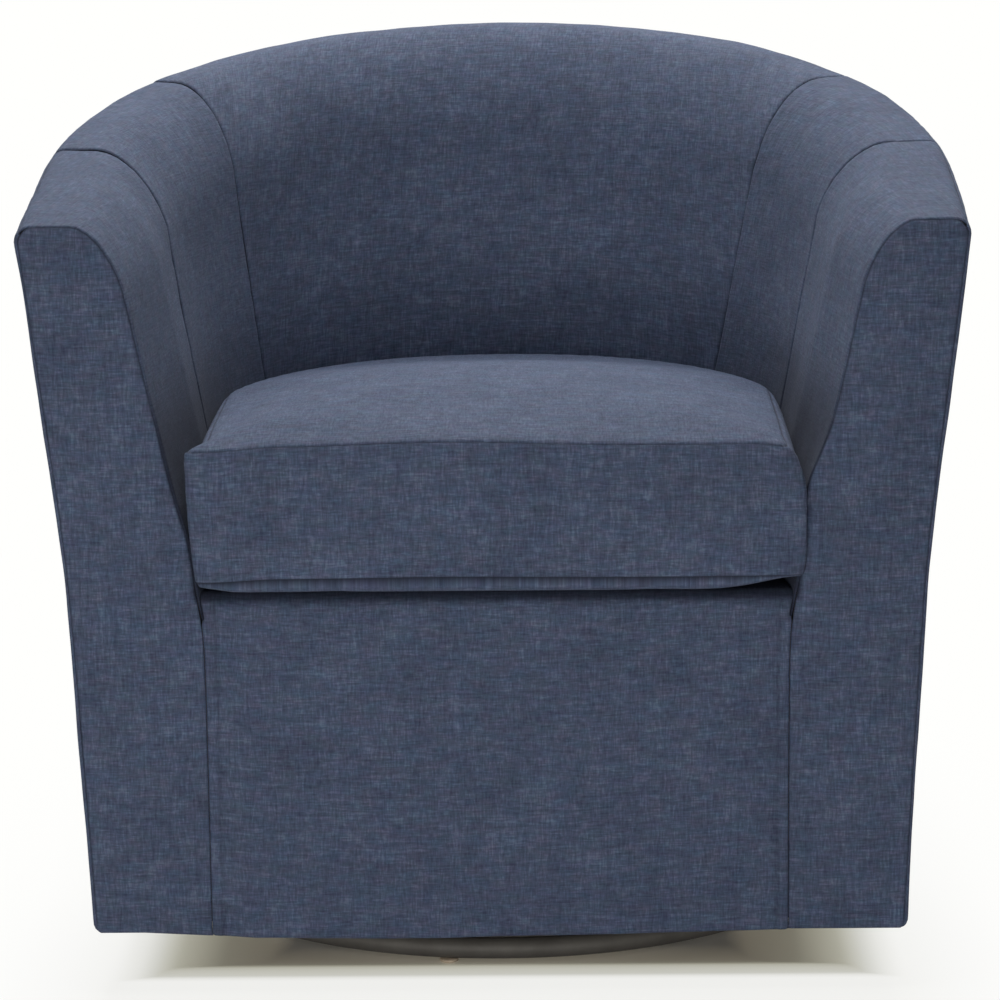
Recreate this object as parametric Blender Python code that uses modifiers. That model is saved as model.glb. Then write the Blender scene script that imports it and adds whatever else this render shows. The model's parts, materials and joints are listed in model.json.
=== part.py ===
"""A swivel club chair: an upholstered tub on a ball-bearing plate and a round tube base.

Metres, +Z up. The origin is on the floor under the middle of the chair, and the front faces -Y.
Places on the tub wall are given by two shares. 'around' runs from -1 at the left arm front, through 0 in
the middle of the back, to 1 at the right arm front. 'reach' runs over the wall, from the hem below, up the
outside, over the rim and down the inside.
"""
import math

import bmesh
import bpy
from mathutils import Vector

# Overall sizes of the tub
FRONT_Y = -0.3725
BACK_Y = 0.3845
BOTTOM_Z = 0.0545
ARM_Z = 0.676
BACK_Z = 0.790
BASE_HALF_WIDTH = 0.3545

# Outside of the tub: its lean below and above the knee, and its plan
LOWER_FLARE_SHARE = 0.05
UPPER_FLARE_SHARE = 0.122
FLARE_KNEE_Z = 0.385
FLARE_BLEND = 0.05
OUTER_POWER_SHARE = 2.14
OUTER_TOE_IN_SHARE = 0.025
BEND_Y = -0.192
BEND_SHARE = 0.36
BACK_FLARE_SHARE = 0.70

# Inside of the tub
SEAT_Z = 0.37
INNER_HALF_WIDTH = 0.243
INNER_LEAN_SHARE = 0.215
INNER_BACK_Y = 0.130
RECLINE_Z = 0.50
BACK_RIM_DEPTH = 0.1008
RECLINE_SHARE = (BACK_Y - BACK_RIM_DEPTH - INNER_BACK_Y) / (BACK_Z - RECLINE_Z)
RECLINE_BLEND = 0.03
INNER_POWER_SHARE = 2.2
INNER_TOE_IN_SHARE = 0.08
MOUTH_FLARE = 0.016
MOUTH_SHARE = 0.25

# Rim: the small outer corner, and the roll that falls to the inside
CORNER_RADIUS = 0.016
HEM_RADIUS = 0.010
ARM_ROLL_SHARE = 0.42
BACK_ROLL_SHARE = 0.72
ARM_ROLL_HEIGHT = 0.062
BACK_ROLL_HEIGHT = 0.100
TUCK_Z = 0.3340

# Seams, as shares of the way from the arm front to the middle of the back
ARM_SEAM_SHARE = 0.41
WING_SEAM_SHARE = 0.60
REAR_SEAM_SHARE = 0.60
BORDER_HALF_WIDTH = 0.2508
BORDER_BLEND = 0.006
BORDER_TOP_RADIUS = 0.015
BORDER_FLANGE = 0.050
ARM_FRONT_DOME = 0.003

# Thicknesses and clearances
COVER = 0.0015
GAP = 0.0003
FIT = 0.0018
BACK_FOAM = 0.030
RIM_FOAM = 0.016
BOARD = 0.003
RAIL = 0.020
RAIL_HEIGHT = 0.045
RAIL_DROP = 0.008
POST = 0.018
PAD = 0.009
PAD_CLEARANCE = 0.001
RIB = 0.018
RIB_CLEARANCE = 0.0012
CORNER_RIB_SHARE = 0.50
BACK_RIB_SHARE = 0.84
DUST_CLOTH = 0.0008
RAIL_LIP = 0.012

# Seat: wire springs under a pad, a cloth and the loose cushion
FRAME_Z = 0.0581
DECK_RAIL_Z = 0.3330
SPRING_WIRE = 0.0036
SPRING_WAVE = 0.022
SPRING_COUNT = 4
SPRING_PITCH = 0.095
SPRING_WAVES = 7
SPRING_LEAD = 0.020
DECK_PAD = 0.0177
DECK_CLOTH = 0.0012
DECK_FRONT_INSET = 0.0165
SEAT_RAIL_DEPTH = 0.038
SEAT_RAIL_SHARE = 0.57
DECK_POINTS = 23

# Cushion
CUSHION_FRONT_Y = -0.3845
CUSHION_HALF_WIDTH = 0.2585
CUSHION_BLEND = 0.004
CUSHION_CORNER = 0.014
CUSHION_BOW = 0.004
CUSHION_SEAM_LOW_Z = 0.370
CUSHION_SEAM_TOP_Z = 0.486
CUSHION_CROWN = 0.022
CROWN_FALL_Y = -0.100
CROWN_FALL_RUN = 0.200
CROWN_FALL_SHARE = 0.5
CUSHION_BULGE = 0.006
ZIP_SHARE = 0.30
CUSHION_PANEL = 0.0012
CORE_CLEARANCE = 0.0008

# Swivel base, on its own axis
SWIVEL_Y = 0.0125
BASE_TURN_DEGREES = -9.25
RING_RADIUS = 0.305
RING_TUBE = 0.019
RING_STEPS = 48
GLIDE_HEIGHT = 0.003
GLIDE_RADIUS = 0.0085
SPIDER_WIDTH = 0.034
SPIDER_THICKNESS = 0.005
SPIDER_FOOT_RUN = 0.060
SPIDER_RISE_RUN = 0.070
BEARING_GAP = 0.0056
BEARING_PLATE = 0.003
LOWER_PLATE_RADIUS = 0.080
UPPER_PLATE_SIDE = 0.200
BALL_RADIUS = 0.004
BALL_CIRCLE_RADIUS = 0.062
BALL_COUNT = 12
GROOVE_STEPS = 36
CAGE_WIDTH = 0.012
CAGE_THICKNESS = 0.0016
PIVOT_RADIUS = 0.008
PIVOT_HEAD_RADIUS = 0.014
PIVOT_HEAD = 0.0025
BOLT_INSET = 0.016
BOLT_RADIUS = 0.003
BOLT_HEAD_RADIUS = 0.0065
BOLT_HEAD = 0.003
BOLT_GRIP = 0.014
SWIVEL_RAIL_WIDTH = 0.060
SWIVEL_RAIL_Y = 0.078
DUST_HOLE_RADIUS = 0.150

NUDGE = 0.0005
MERGE_DISTANCE = 0.00005
UNDER_Z = DECK_RAIL_Z + GAP + SPRING_WIRE + GAP + DECK_PAD + GAP + COVER + GAP
PLATE_TOP_Z = FRAME_Z - GAP
PLATE_LOW_Z = PLATE_TOP_Z - BEARING_PLATE
LOWER_TOP_Z = PLATE_LOW_Z - BEARING_GAP
SPIDER_TOP_Z = LOWER_TOP_Z - BEARING_PLATE - GAP
BALL_Z = (PLATE_LOW_Z + LOWER_TOP_Z) / 2
AXIS = Vector((0, SWIVEL_Y, 0))

for leftover in list(bpy.context.scene.objects):
    bpy.data.objects.remove(leftover, do_unlink=True)

parts = bpy.data.collections.new("swivel_club_chair")
cutters = bpy.data.collections.new("cutters")
bpy.context.scene.collection.children.link(parts)
bpy.context.scene.collection.children.link(cutters)


def material(name, colour, roughness, metallic=0.0):
    """A plain Principled material."""
    made = bpy.data.materials.new(name)
    made.use_nodes = True
    shader = made.node_tree.nodes["Principled BSDF"]
    shader.inputs["Base Color"].default_value = (*colour, 1)
    shader.inputs["Roughness"].default_value = roughness
    shader.inputs["Metallic"].default_value = metallic
    return made


NAVY = material("navy_cloth", (0.060, 0.078, 0.125), 0.9)
FOAM = material("foam", (0.85, 0.80, 0.62), 0.95)
WADDING = material("wadding", (0.88, 0.88, 0.86), 1.0)
PLY = material("plywood", (0.55, 0.38, 0.20), 0.7)
FIBREBOARD = material("fibreboard", (0.36, 0.25, 0.15), 0.8)
BLACK_CLOTH = material("dust_cloth", (0.02, 0.02, 0.022), 1.0)
BRONZE = material("bronze_enamel", (0.045, 0.042, 0.040), 0.4, 0.6)
STEEL = material("zinc_steel", (0.55, 0.55, 0.56), 0.35, 1.0)
SPRING_STEEL = material("spring_steel", (0.20, 0.20, 0.21), 0.4, 1.0)
NYLON = material("glide_nylon", (0.62, 0.50, 0.36), 0.5)


def empty(name, turn=0.0):
    """An axis marker on the swivel's axis."""
    marker = bpy.data.objects.new(name, None)
    marker.location = AXIS
    marker.rotation_euler.z = turn
    parts.objects.link(marker)
    return marker


seat_axis = empty("seat_axis")
cage_axis = empty("cage_axis")
base_axis = empty("base_axis", math.radians(BASE_TURN_DEGREES))
bpy.context.view_layer.update()


def add(name, mesh, finish, axis=seat_axis, on_axis=False, collection=parts, smooth=True):
    """Name a mesh's object, finish it and hang it on its axis; on_axis means built about that axis."""
    made = bpy.data.objects.new(name, mesh)
    if finish:
        mesh.materials.append(finish)
    if smooth:
        mesh.shade_smooth()
        mesh.set_sharp_from_angle(angle=math.radians(35))
    made.parent = axis
    if not on_axis:
        made.matrix_parent_inverse = axis.matrix_world.inverted()
    collection.objects.link(made)
    return made


def mesh_from(name, body):
    """Turn a bmesh into a mesh with its faces pointing out."""
    bmesh.ops.recalc_face_normals(body, faces=body.faces)
    mesh = bpy.data.meshes.new(name)
    body.to_mesh(mesh)
    body.free()
    return mesh


def as_cutter(made):
    """Hide a cutting shape from view and from the build."""
    made.hide_render = True
    made.display_type = "WIRE"
    return made


def boolean(target, tool, operation="DIFFERENCE"):
    """Cut or join one object by another."""
    cut = target.modifiers.new(tool.name, "BOOLEAN")
    cut.operation = operation
    cut.object = tool
    cut.solver = "EXACT"


def mix(start, end, share):
    """The value a share of the way from start to end."""
    return start + (end - start) * share


def ease(share):
    """A share that starts and stops gently."""
    held = min(max(share, 0.0), 1.0)
    return held * held * (3 - 2 * held)


def soft_ramp(value, blend):
    """Zero below nought and the value itself above it, with the corner eased over a length."""
    return (value + math.hypot(value, blend)) / 2


def steps(count):
    """Even shares from nought to one."""
    return [i / count for i in range(count + 1)]


def slab(name, near, far, across, along, finish, **options):
    """A closed piece between two facing surfaces, each a function of a place across and along it."""
    body = bmesh.new()
    top, under = ([[body.verts.new(point(i, j)) for i in across] for j in along] for point in (near, far))
    columns = len(across) - 1
    rows = len(along) - 1
    for j in range(rows):
        for i in range(columns):
            for layer in (top, under):
                body.faces.new((layer[j][i], layer[j][i + 1], layer[j + 1][i + 1], layer[j + 1][i]))
    edge = [(0, i) for i in range(columns)]
    edge += [(j, columns) for j in range(rows)]
    edge += [(rows, i) for i in range(columns, 0, -1)]
    edge += [(j, 0) for j in range(rows, 0, -1)]
    for here, there in zip(edge, edge[1:] + edge[:1]):
        (j, i), (next_j, next_i) = sorted((here, there))
        body.faces.new((top[j][i], top[next_j][next_i], under[next_j][next_i], under[j][i]))
    return add(name, mesh_from(name, body), finish, **options)


def loft(name, rings, finish, capped=True, **options):
    """Join rings of points into one body, closed by its end rings or round on itself."""
    body = bmesh.new()
    loops = [[body.verts.new(point) for point in ring] for ring in rings]
    pairs = list(zip(loops, loops[1:]))
    if not capped:
        pairs.append((loops[-1], loops[0]))
    for lower, upper in pairs:
        for i in range(len(lower)):
            body.faces.new((lower[i - 1], lower[i], upper[i], upper[i - 1]))
    if capped:
        body.faces.new(loops[0])
        body.faces.new(loops[-1])
    return add(name, mesh_from(name, body), finish, **options)


def turned(name, profile, steps, finish, closed=False, **options):
    """Spin a profile of (radius, height) points, listed down its outer side, about the axis."""
    mesh = bpy.data.meshes.new(name)
    edges = [(i, i + 1) for i in range(len(profile) - 1)]
    if closed:
        edges.append((len(profile) - 1, 0))
    mesh.from_pydata([(radius, 0, height) for radius, height in profile], edges, [])
    made = add(name, mesh, finish, smooth=False, on_axis=True, **options)
    spin = made.modifiers.new("spin", "SCREW")
    spin.steps = steps
    spin.render_steps = steps
    spin.use_merge_vertices = True
    spin.merge_threshold = MERGE_DISTANCE
    return made


def block(name, low, high, finish, bevel=0.0, **options):
    """A box between two corners, with its edges eased."""
    body = bmesh.new()
    bmesh.ops.create_cube(body, size=1)
    size = Vector(high) - Vector(low)
    bmesh.ops.scale(body, vec=size, verts=body.verts)
    bmesh.ops.translate(body, vec=(Vector(high) + Vector(low)) / 2, verts=body.verts)
    if bevel:
        bmesh.ops.bevel(body, geom=body.edges, offset=bevel, segments=1, affect="EDGES")
    return add(name, mesh_from(name, body), finish, smooth=False, **options)


# The tub's surfaces

STEP_SHARE = 0.001
STRAIGHT_STATIONS = 5
ROUND_STATIONS = 12
HALF_STATION_SHARES = [1 - BEND_SHARE * i / STRAIGHT_STATIONS for i in range(STRAIGHT_STATIONS)]
HALF_STATION_SHARES += [(1 - BEND_SHARE) * (1 - i / ROUND_STATIONS) for i in range(ROUND_STATIONS)]
STATION_SHARES = [-place for place in HALF_STATION_SHARES] + [0.0] + HALF_STATION_SHARES[::-1]
HEM_REACH_SHARES = [-1, -0.67, -0.33]
OUTSIDE_REACH_SHARES = [0, 0.30, 0.48, 0.58, 0.70, 1]
INSIDE_REACH_SHARES = [2, 3, 3.25, 3.5, 3.75, 4, 4.2, 4.35, 4.5, 4.65, 4.8, 5]

def outer_flare(z):
    """How far the outside stands out past its foot at a height."""
    knee = soft_ramp(z - FLARE_KNEE_Z, FLARE_BLEND) - soft_ramp(BOTTOM_Z - FLARE_KNEE_Z, FLARE_BLEND)
    return LOWER_FLARE_SHARE * (z - BOTTOM_Z) + (UPPER_FLARE_SHARE - LOWER_FLARE_SHARE) * knee


def horseshoe(share, half_width, back_y, power_share, toe_in_share):
    """A horseshoe plan: straight from the arm front to the bend, then round to the middle of the back."""
    if share <= BEND_SHARE:
        x = half_width
        y = mix(FRONT_Y, BEND_Y, share / BEND_SHARE)
    else:
        turn = (share - BEND_SHARE) / (1 - BEND_SHARE) * math.pi / 2
        x = half_width * max(math.cos(turn), 0.0) ** (2 / power_share)
        y = mix(BEND_Y, back_y, math.sin(turn) ** (2 / power_share))
    return x * (1 - toe_in_share * (y - FRONT_Y) / (BACK_Y - FRONT_Y)), y


def outer_plan(around, z):
    """A point of the outside at a height."""
    flare = outer_flare(z)
    back_y = BACK_Y - BACK_FLARE_SHARE * (outer_flare(BACK_Z - CORNER_RADIUS) - flare)
    half_width = BASE_HALF_WIDTH + flare
    x, y = horseshoe(1 - abs(around), half_width, back_y, OUTER_POWER_SHARE, OUTER_TOE_IN_SHARE)
    return Vector((math.copysign(x, around), y, z))


def inner_plan(around, z, inset=0.0):
    """A point of the inside at a height, moved outward into the padding by the inset."""
    share = 1 - abs(around)
    mouth = MOUTH_FLARE * max(1 - share / MOUTH_SHARE, 0.0)
    half_width = INNER_HALF_WIDTH + INNER_LEAN_SHARE * (z - SEAT_Z) + mouth + inset
    back_y = INNER_BACK_Y + RECLINE_SHARE * soft_ramp(z - RECLINE_Z, RECLINE_BLEND) + inset
    x, y = horseshoe(share, half_width, back_y, INNER_POWER_SHARE, INNER_TOE_IN_SHARE)
    return Vector((math.copysign(x, around), y, z))


def outer_station(around, z, depth):
    """A point inside the outer face, square to its plan."""
    along = outer_plan(around + STEP_SHARE, z) - outer_plan(around - STEP_SHARE, z)
    return outer_plan(around, z) - Vector((-along.y, along.x, 0)).normalized() * depth


def outer_inset(around, z, depth):
    """The same on the facets between the stations, which all pieces of the outer wall share."""
    below = max(i for i, place in enumerate(STATION_SHARES[:-1]) if place <= around or i == 0)
    start, end = STATION_SHARES[below], STATION_SHARES[below + 1]
    along = (around - start) / (end - start)
    return outer_station(start, z, depth).lerp(outer_station(end, z, depth), along)


def stations(start, end):
    """The two ends and every station between them."""
    between = [place for place in STATION_SHARES if start + STEP_SHARE < place < end - STEP_SHARE]
    return [start] + between + [end]


def rim_height(around):
    """The rim climbs steadily from the arm front to the middle of the back."""
    y = outer_plan(around, BACK_Z - CORNER_RADIUS).y
    return mix(ARM_Z, BACK_Z, (y - FRONT_Y) / (BACK_Y - FRONT_Y))


def wall_point(around, reach, outside=0.0, inside=0.0, drop=0.0):
    """A point on the wall's skin, or on a smaller skin within it.

    reach -1 to 0 is the hem, 0 to 1 the outside, 1 to 2 the outer corner, 2 to 3 the flat rim,
    3 to 4 the roll and 4 to 5 the inside.
    """
    share = 1 - abs(around)
    rim = rim_height(around) - drop
    roll_height = mix(ARM_ROLL_HEIGHT, BACK_ROLL_HEIGHT, share)
    top_outer = outer_inset(around, rim, outside)
    top_inner = inner_plan(around, rim, inside)
    thickness = (top_outer - top_inner).length
    roll_share = mix(ARM_ROLL_SHARE, BACK_ROLL_SHARE, share)
    corner_share = CORNER_RADIUS / thickness
    if reach < 0:
        turn = (1 + reach) * math.pi / 2
        return outer_inset(around, BOTTOM_Z + HEM_RADIUS * (1 - math.cos(turn)),
                           outside + HEM_RADIUS * (1 - math.sin(turn)))
    if reach <= 1:
        return outer_inset(around, mix(BOTTOM_Z + HEM_RADIUS, rim - CORNER_RADIUS, reach), outside)
    if reach <= 2:
        turn = (reach - 1) * math.pi / 2
        z = rim - CORNER_RADIUS * (1 - math.sin(turn))
        across = corner_share * (1 - math.cos(turn))
    elif reach <= 3:
        z = rim
        across = mix(corner_share, 1 - roll_share, reach - 2)
    elif reach <= 4:
        turn = (reach - 3) * math.pi / 2
        z = rim - roll_height * (1 - math.cos(turn))
        across = 1 - roll_share * (1 - math.sin(turn))
    else:
        return inner_plan(around, mix(rim - roll_height, TUCK_Z, reach - 4), inside)
    return outer_inset(around, z, outside).lerp(inner_plan(around, z, inside), across)


def under_cover(around, reach, depth):
    """A point square below the wall's skin."""
    along = wall_point(around + STEP_SHARE, reach) - wall_point(around - STEP_SHARE, reach)
    up = wall_point(around, reach + STEP_SHARE) - wall_point(around, reach - STEP_SHARE)
    return wall_point(around, reach) - up.cross(along).normalized() * depth


def front_share(y_step):
    """The share of the way round at a step behind the arm front."""
    return BEND_SHARE * y_step / (BEND_Y - FRONT_Y)


def cover(name, places, reaches):
    """A cloth panel of the wall."""

    def skin(depth):
        return lambda around, reach: under_cover(around, reach, depth)

    return slab(name, skin(0.0), skin(COVER), places, reaches, NAVY)


# Covers of the wall

SEAM_GAP_SHARE = 0.0005
EDGE_SHARE = front_share(COVER + GAP) + SEAM_GAP_SHARE
POST_SHARE = front_share(COVER + GAP + PAD + GAP + POST + 3 * GAP)
RIM_SEAM_SHARE = 1.5
RIM_SEAM_GAP_SHARE = 0.05
BACK_STEPS = 12
WING_STEPS = 3
ARM_STEPS = 5


def places_between(start, end, count):
    """Places round the wall at even steps."""
    return [mix(start, end, share) for share in steps(count)]


def back_places(slack):
    """From one wing seam to the other, with a gap at each."""
    edge = 1 - WING_SEAM_SHARE - slack
    return places_between(-edge, edge, BACK_STEPS)


def wing_places(side, slack):
    """From the arm seam to the wing seam, with a gap at each."""
    front, back = 1 - ARM_SEAM_SHARE - slack, 1 - WING_SEAM_SHARE + slack
    return places_between(side * front, side * back, WING_STEPS)


def arm_places(side, slack):
    """From behind the arm front's post to the arm seam, with a gap there."""
    return places_between(side * (1 - POST_SHARE), side * (1 - ARM_SEAM_SHARE + slack), ARM_STEPS)


def make_wall_covers():
    """Eight sewn panels: three inside, two wings and three outside."""
    inside = [RIM_SEAM_SHARE + RIM_SEAM_GAP_SHARE] + INSIDE_REACH_SHARES
    outside = HEM_REACH_SHARES + OUTSIDE_REACH_SHARES + [RIM_SEAM_SHARE]
    cover("inside_back_cover", back_places(SEAM_GAP_SHARE), inside)
    rear = 1 - REAR_SEAM_SHARE
    for side, word in ((-1, "left"), (1, "right")):
        cover(f"wing_cover_{word}", wing_places(side, SEAM_GAP_SHARE), inside)
        arm = [side * (1 - EDGE_SHARE)] + arm_places(side, SEAM_GAP_SHARE)
        cover(f"inside_arm_cover_{word}", arm, inside)
        ends = sorted((side * (1 - EDGE_SHARE), side * (rear + SEAM_GAP_SHARE)))
        cover(f"outside_arm_cover_{word}", stations(*ends), outside)
    cover("outside_back_cover", stations(-rear + SEAM_GAP_SHARE, rear - SEAM_GAP_SHARE), outside)


# Arm fronts: a shield outline shared by the cover, its pad and the post

ROUND_RUNGS = 3
BORDER_RUNGS = 3
INSIDE_RUNGS = 4
ROLL_RUNGS = 2 * ROUND_RUNGS + len(OUTSIDE_REACH_SHARES) - 1 - BORDER_RUNGS - INSIDE_RUNGS


def inner_edge_x(share, z):
    """The arm front's inner edge: the border seam below, the inside arm above."""
    return BORDER_HALF_WIDTH + soft_ramp(inner_plan(1 - share, z).x - BORDER_HALF_WIDTH, BORDER_BLEND)


def shield_outline(y_step):
    """The arm front's edge as (x, z) a step behind its face: up outside, over the top, down inside."""
    share = front_share(y_step)
    reaches = [-1 + i / ROUND_RUNGS for i in range(ROUND_RUNGS)]
    reaches += OUTSIDE_REACH_SHARES[:-1]
    reaches += [1 + i / ROUND_RUNGS for i in range(ROUND_RUNGS + 1)]
    reaches += [3 + i / ROLL_RUNGS for i in range(ROLL_RUNGS + 1)]
    outline = []
    for reach in reaches:
        point = wall_point(1 - share, reach)
        outline.append((point.x, point.z))
    roll_foot = outline[-1][1]
    levels = [mix(roll_foot, UNDER_Z, i / INSIDE_RUNGS) for i in range(1, INSIDE_RUNGS + 1)]
    levels += [mix(UNDER_Z, BOTTOM_Z, i / BORDER_RUNGS) for i in range(1, BORDER_RUNGS + 1)]
    return outline + [(inner_edge_x(share, z), z) for z in levels]


def inset_outline(outline, inset):
    """A closed outline moved inward, each corner by its mitre; the outline runs clockwise."""
    moved = []
    for before, here, after in zip(outline[-1:] + outline[:-1], outline, outline[1:] + outline[:1]):
        first = Vector((here[0] - before[0], here[1] - before[1])).normalized()
        second = Vector((after[0] - here[0], after[1] - here[1])).normalized()
        inward = Vector((-first.y, first.x)) + Vector((-second.y, second.x))
        shift = inward * inset / (1 + first.dot(second))
        moved.append((here[0] + shift.x, here[1] + shift.y))
    return moved


def shield(name, side, inset, near_y, far_y, near_dome, far_dome, finish, columns=4):
    """A shield-shaped piece of the arm front between two depths, its faces domed or flat."""

    def face(y, crown):
        outline = inset_outline(shield_outline(y - FRONT_Y), inset)

        def place(across, rung):
            outer = outline[rung]
            inner = outline[-1 - rung]
            up = rung / (len(outline) // 2 - 1)
            swell = crown * (1 - (2 * across - 1) ** 4) * (1 - (2 * up - 1) ** 4)
            return side * mix(outer[0], inner[0], across), y - swell, mix(outer[1], inner[1], across)
        return place

    rungs = range(len(shield_outline(0.0)) // 2)
    return slab(name, face(near_y, near_dome), face(far_y, far_dome), steps(columns), rungs, finish)


def make_arm_fronts():
    """Post, pad and cover of each arm front."""
    bed = COVER + PAD_CLEARANCE
    pad_y = FRONT_Y + COVER + GAP
    post_y = pad_y + PAD + GAP
    for side, word in ((-1, "left"), (1, "right")):
        shield(f"arm_front_cover_{word}", side, 0.0, FRONT_Y, FRONT_Y + COVER,
               ARM_FRONT_DOME, ARM_FRONT_DOME, NAVY)
        shield(f"arm_front_pad_{word}", side, bed, pad_y, pad_y + PAD, ARM_FRONT_DOME, 0.0, WADDING)
        shield(f"arm_post_{word}", side, bed, post_y, post_y + POST, 0.0, 0.0, PLY, columns=2)


def make_front_border():
    """The apron board, and the border cover that wraps it from the hem to the seat deck."""
    half_width = BORDER_HALF_WIDTH - GAP
    top_z = UNDER_Z - GAP
    apron_back = FRONT_Y + COVER + 2 * GAP + RAIL

    def border_path():
        hem_centre = (FRONT_Y + HEM_RADIUS, BOTTOM_Z + HEM_RADIUS)
        top_centre = (FRONT_Y + BORDER_TOP_RADIUS, top_z - BORDER_TOP_RADIUS)
        path = [((apron_back, BOTTOM_Z), (0, -1))]
        for i in range(4):
            turn = i / 3 * math.pi / 2
            out = (-math.sin(turn), -math.cos(turn))
            path.append(((hem_centre[0] + HEM_RADIUS * out[0], hem_centre[1] + HEM_RADIUS * out[1]), out))
        for i in range(4):
            turn = i / 3 * math.pi / 2
            out = (-math.cos(turn), math.sin(turn))
            path.append(((top_centre[0] + BORDER_TOP_RADIUS * out[0],
                          top_centre[1] + BORDER_TOP_RADIUS * out[1]), out))
        path.append(((FRONT_Y + BORDER_FLANGE, top_z), (0, 1)))
        return path

    path = border_path()

    def skin(depth):
        def place(across, station):
            (y, z), out = station
            reach = half_width
            if y > FRONT_Y + BORDER_TOP_RADIUS / 2 and z > SEAT_Z / 2:
                reach = min(reach, inner_plan(1 - front_share(y - FRONT_Y), top_z).x - FIT)
            return mix(-reach, reach, across), y - out[0] * depth, z - out[1] * depth
        return place

    slab("front_border_cover", skin(0.0), skin(COVER), steps(6), path, NAVY)
    low = (-half_width, FRONT_Y + COVER + 2 * GAP, FRAME_Z)
    chamfer = HEM_RADIUS / 2
    block("front_apron", low, (half_width, apron_back, DECK_RAIL_Z), PLY, bevel=chamfer)


# Wooden frame

CORNER_RAIL_SHARE = 0.57
RAIL_DEPTH = COVER + GAP + BOARD + GAP


def hoop_rail(name, start, end, low, high, depth):
    """A bent rail that follows the outside, between two places round and two heights."""

    def face(inset):
        return lambda around, along: outer_inset(around, mix(low(around), high(around), along), inset)

    return slab(name, face(depth), face(depth + RAIL), stations(start, end), (0, 1), PLY)


def make_rails():
    """Bottom and top rails, in three lengths each, and the curved rail behind the seat."""
    start = 1 - POST_SHARE
    joint = 1 - CORNER_RAIL_SHARE
    half_gap = SEAM_GAP_SHARE / 2

    def bottom(lift):
        return lambda around: FRAME_Z + lift

    def top(drop):
        return lambda around: rim_height(around) - RIM_FOAM - RAIL_DROP - drop

    levels = (("bottom", bottom(0.0), bottom(RAIL_HEIGHT)), ("top", top(RAIL_HEIGHT), top(0.0)))
    for level, low, high in levels:
        hoop_rail(f"{level}_rail_left", -start, -joint - half_gap, low, high, RAIL_DEPTH)
        hoop_rail(f"{level}_rail_back", -joint + half_gap, joint - half_gap, low, high, RAIL_DEPTH)
        hoop_rail(f"{level}_rail_right", joint + half_gap, start, low, high, RAIL_DEPTH)

    seat_end = 1 - SEAT_RAIL_SHARE

    def seat_face(inset):
        return lambda across, z: inner_plan(mix(-seat_end, seat_end, across), z, inset)

    slab("seat_back_rail", seat_face(-RAIL_LIP), seat_face(BACK_FOAM - GAP), steps(14),
         (DECK_RAIL_Z - SEAT_RAIL_DEPTH, DECK_RAIL_Z), PLY)


def make_ribs():
    """Four shaped ribs on the swivel rails' level that join the outer rails and back the foam."""
    depth = RAIL_DEPTH + RAIL + GAP
    foot_z = FRAME_Z + RAIL + GAP
    for share, word in ((CORNER_RIB_SHARE, "corner"), (BACK_RIB_SHARE, "back")):
        for side, hand in ((-1, "left"), (1, "right")):
            middle = side * (1 - share)
            pace = (outer_plan(middle + STEP_SHARE, SEAT_Z) - outer_plan(middle, SEAT_Z)).length
            half = RIB / 2 * STEP_SHARE / pace

            def outer(around, reach):
                top = rim_height(around) - RIM_FOAM - RAIL_DROP
                return outer_inset(around, mix(top, foot_z, (reach - 4) / 2), depth)

            def inner(around, reach):
                if reach > 5:
                    return inner_plan(around, foot_z, BACK_FOAM + RIB_CLEARANCE)
                return wall_point(around, reach, inside=BACK_FOAM + RIB_CLEARANCE, drop=RIM_FOAM)

            heights = [reach for reach in INSIDE_REACH_SHARES if reach >= 4] + [6]
            slab(f"{word}_rib_{hand}", outer, inner, (middle - half, middle + half), heights, PLY)


def make_outer_board():
    """One bent board that carries the outside covers."""
    start = 1 - POST_SHARE

    def face(depth):
        return lambda around, reach: wall_point(around, reach, outside=depth)

    slab("outer_board", face(COVER + GAP), face(COVER + GAP + BOARD), stations(-start, start),
         OUTSIDE_REACH_SHARES, FIBREBOARD)


def make_foam():
    """Foam of the inside back and of each arm, from the rim down to the seat rail."""

    def pad(name, places):
        def outer(around, reach):
            return under_cover(around, reach, COVER + GAP)

        def inner(around, reach):
            return wall_point(around, reach, outside=RAIL_DEPTH, inside=BACK_FOAM, drop=RIM_FOAM)

        reaches = [RIM_SEAM_SHARE + RIM_SEAM_GAP_SHARE] + INSIDE_REACH_SHARES
        slab(name, outer, inner, places, reaches, FOAM)

    pad("inside_back_foam", back_places(SEAM_GAP_SHARE))
    for side, word in ((-1, "left"), (1, "right")):
        pad(f"arm_foam_{word}", arm_places(side, SEAM_GAP_SHARE)[:-1] + wing_places(side, SEAM_GAP_SHARE))


# Seat deck

def tub_outline(z, clearance, front_y, count):
    """The inside of the tub at a height, cut off straight at the front, as points in a ring."""
    start = 1 - front_share(front_y - FRONT_Y)
    return [inner_plan(mix(start, -start, i / (count - 1)), z, -clearance) for i in range(count)]


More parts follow.
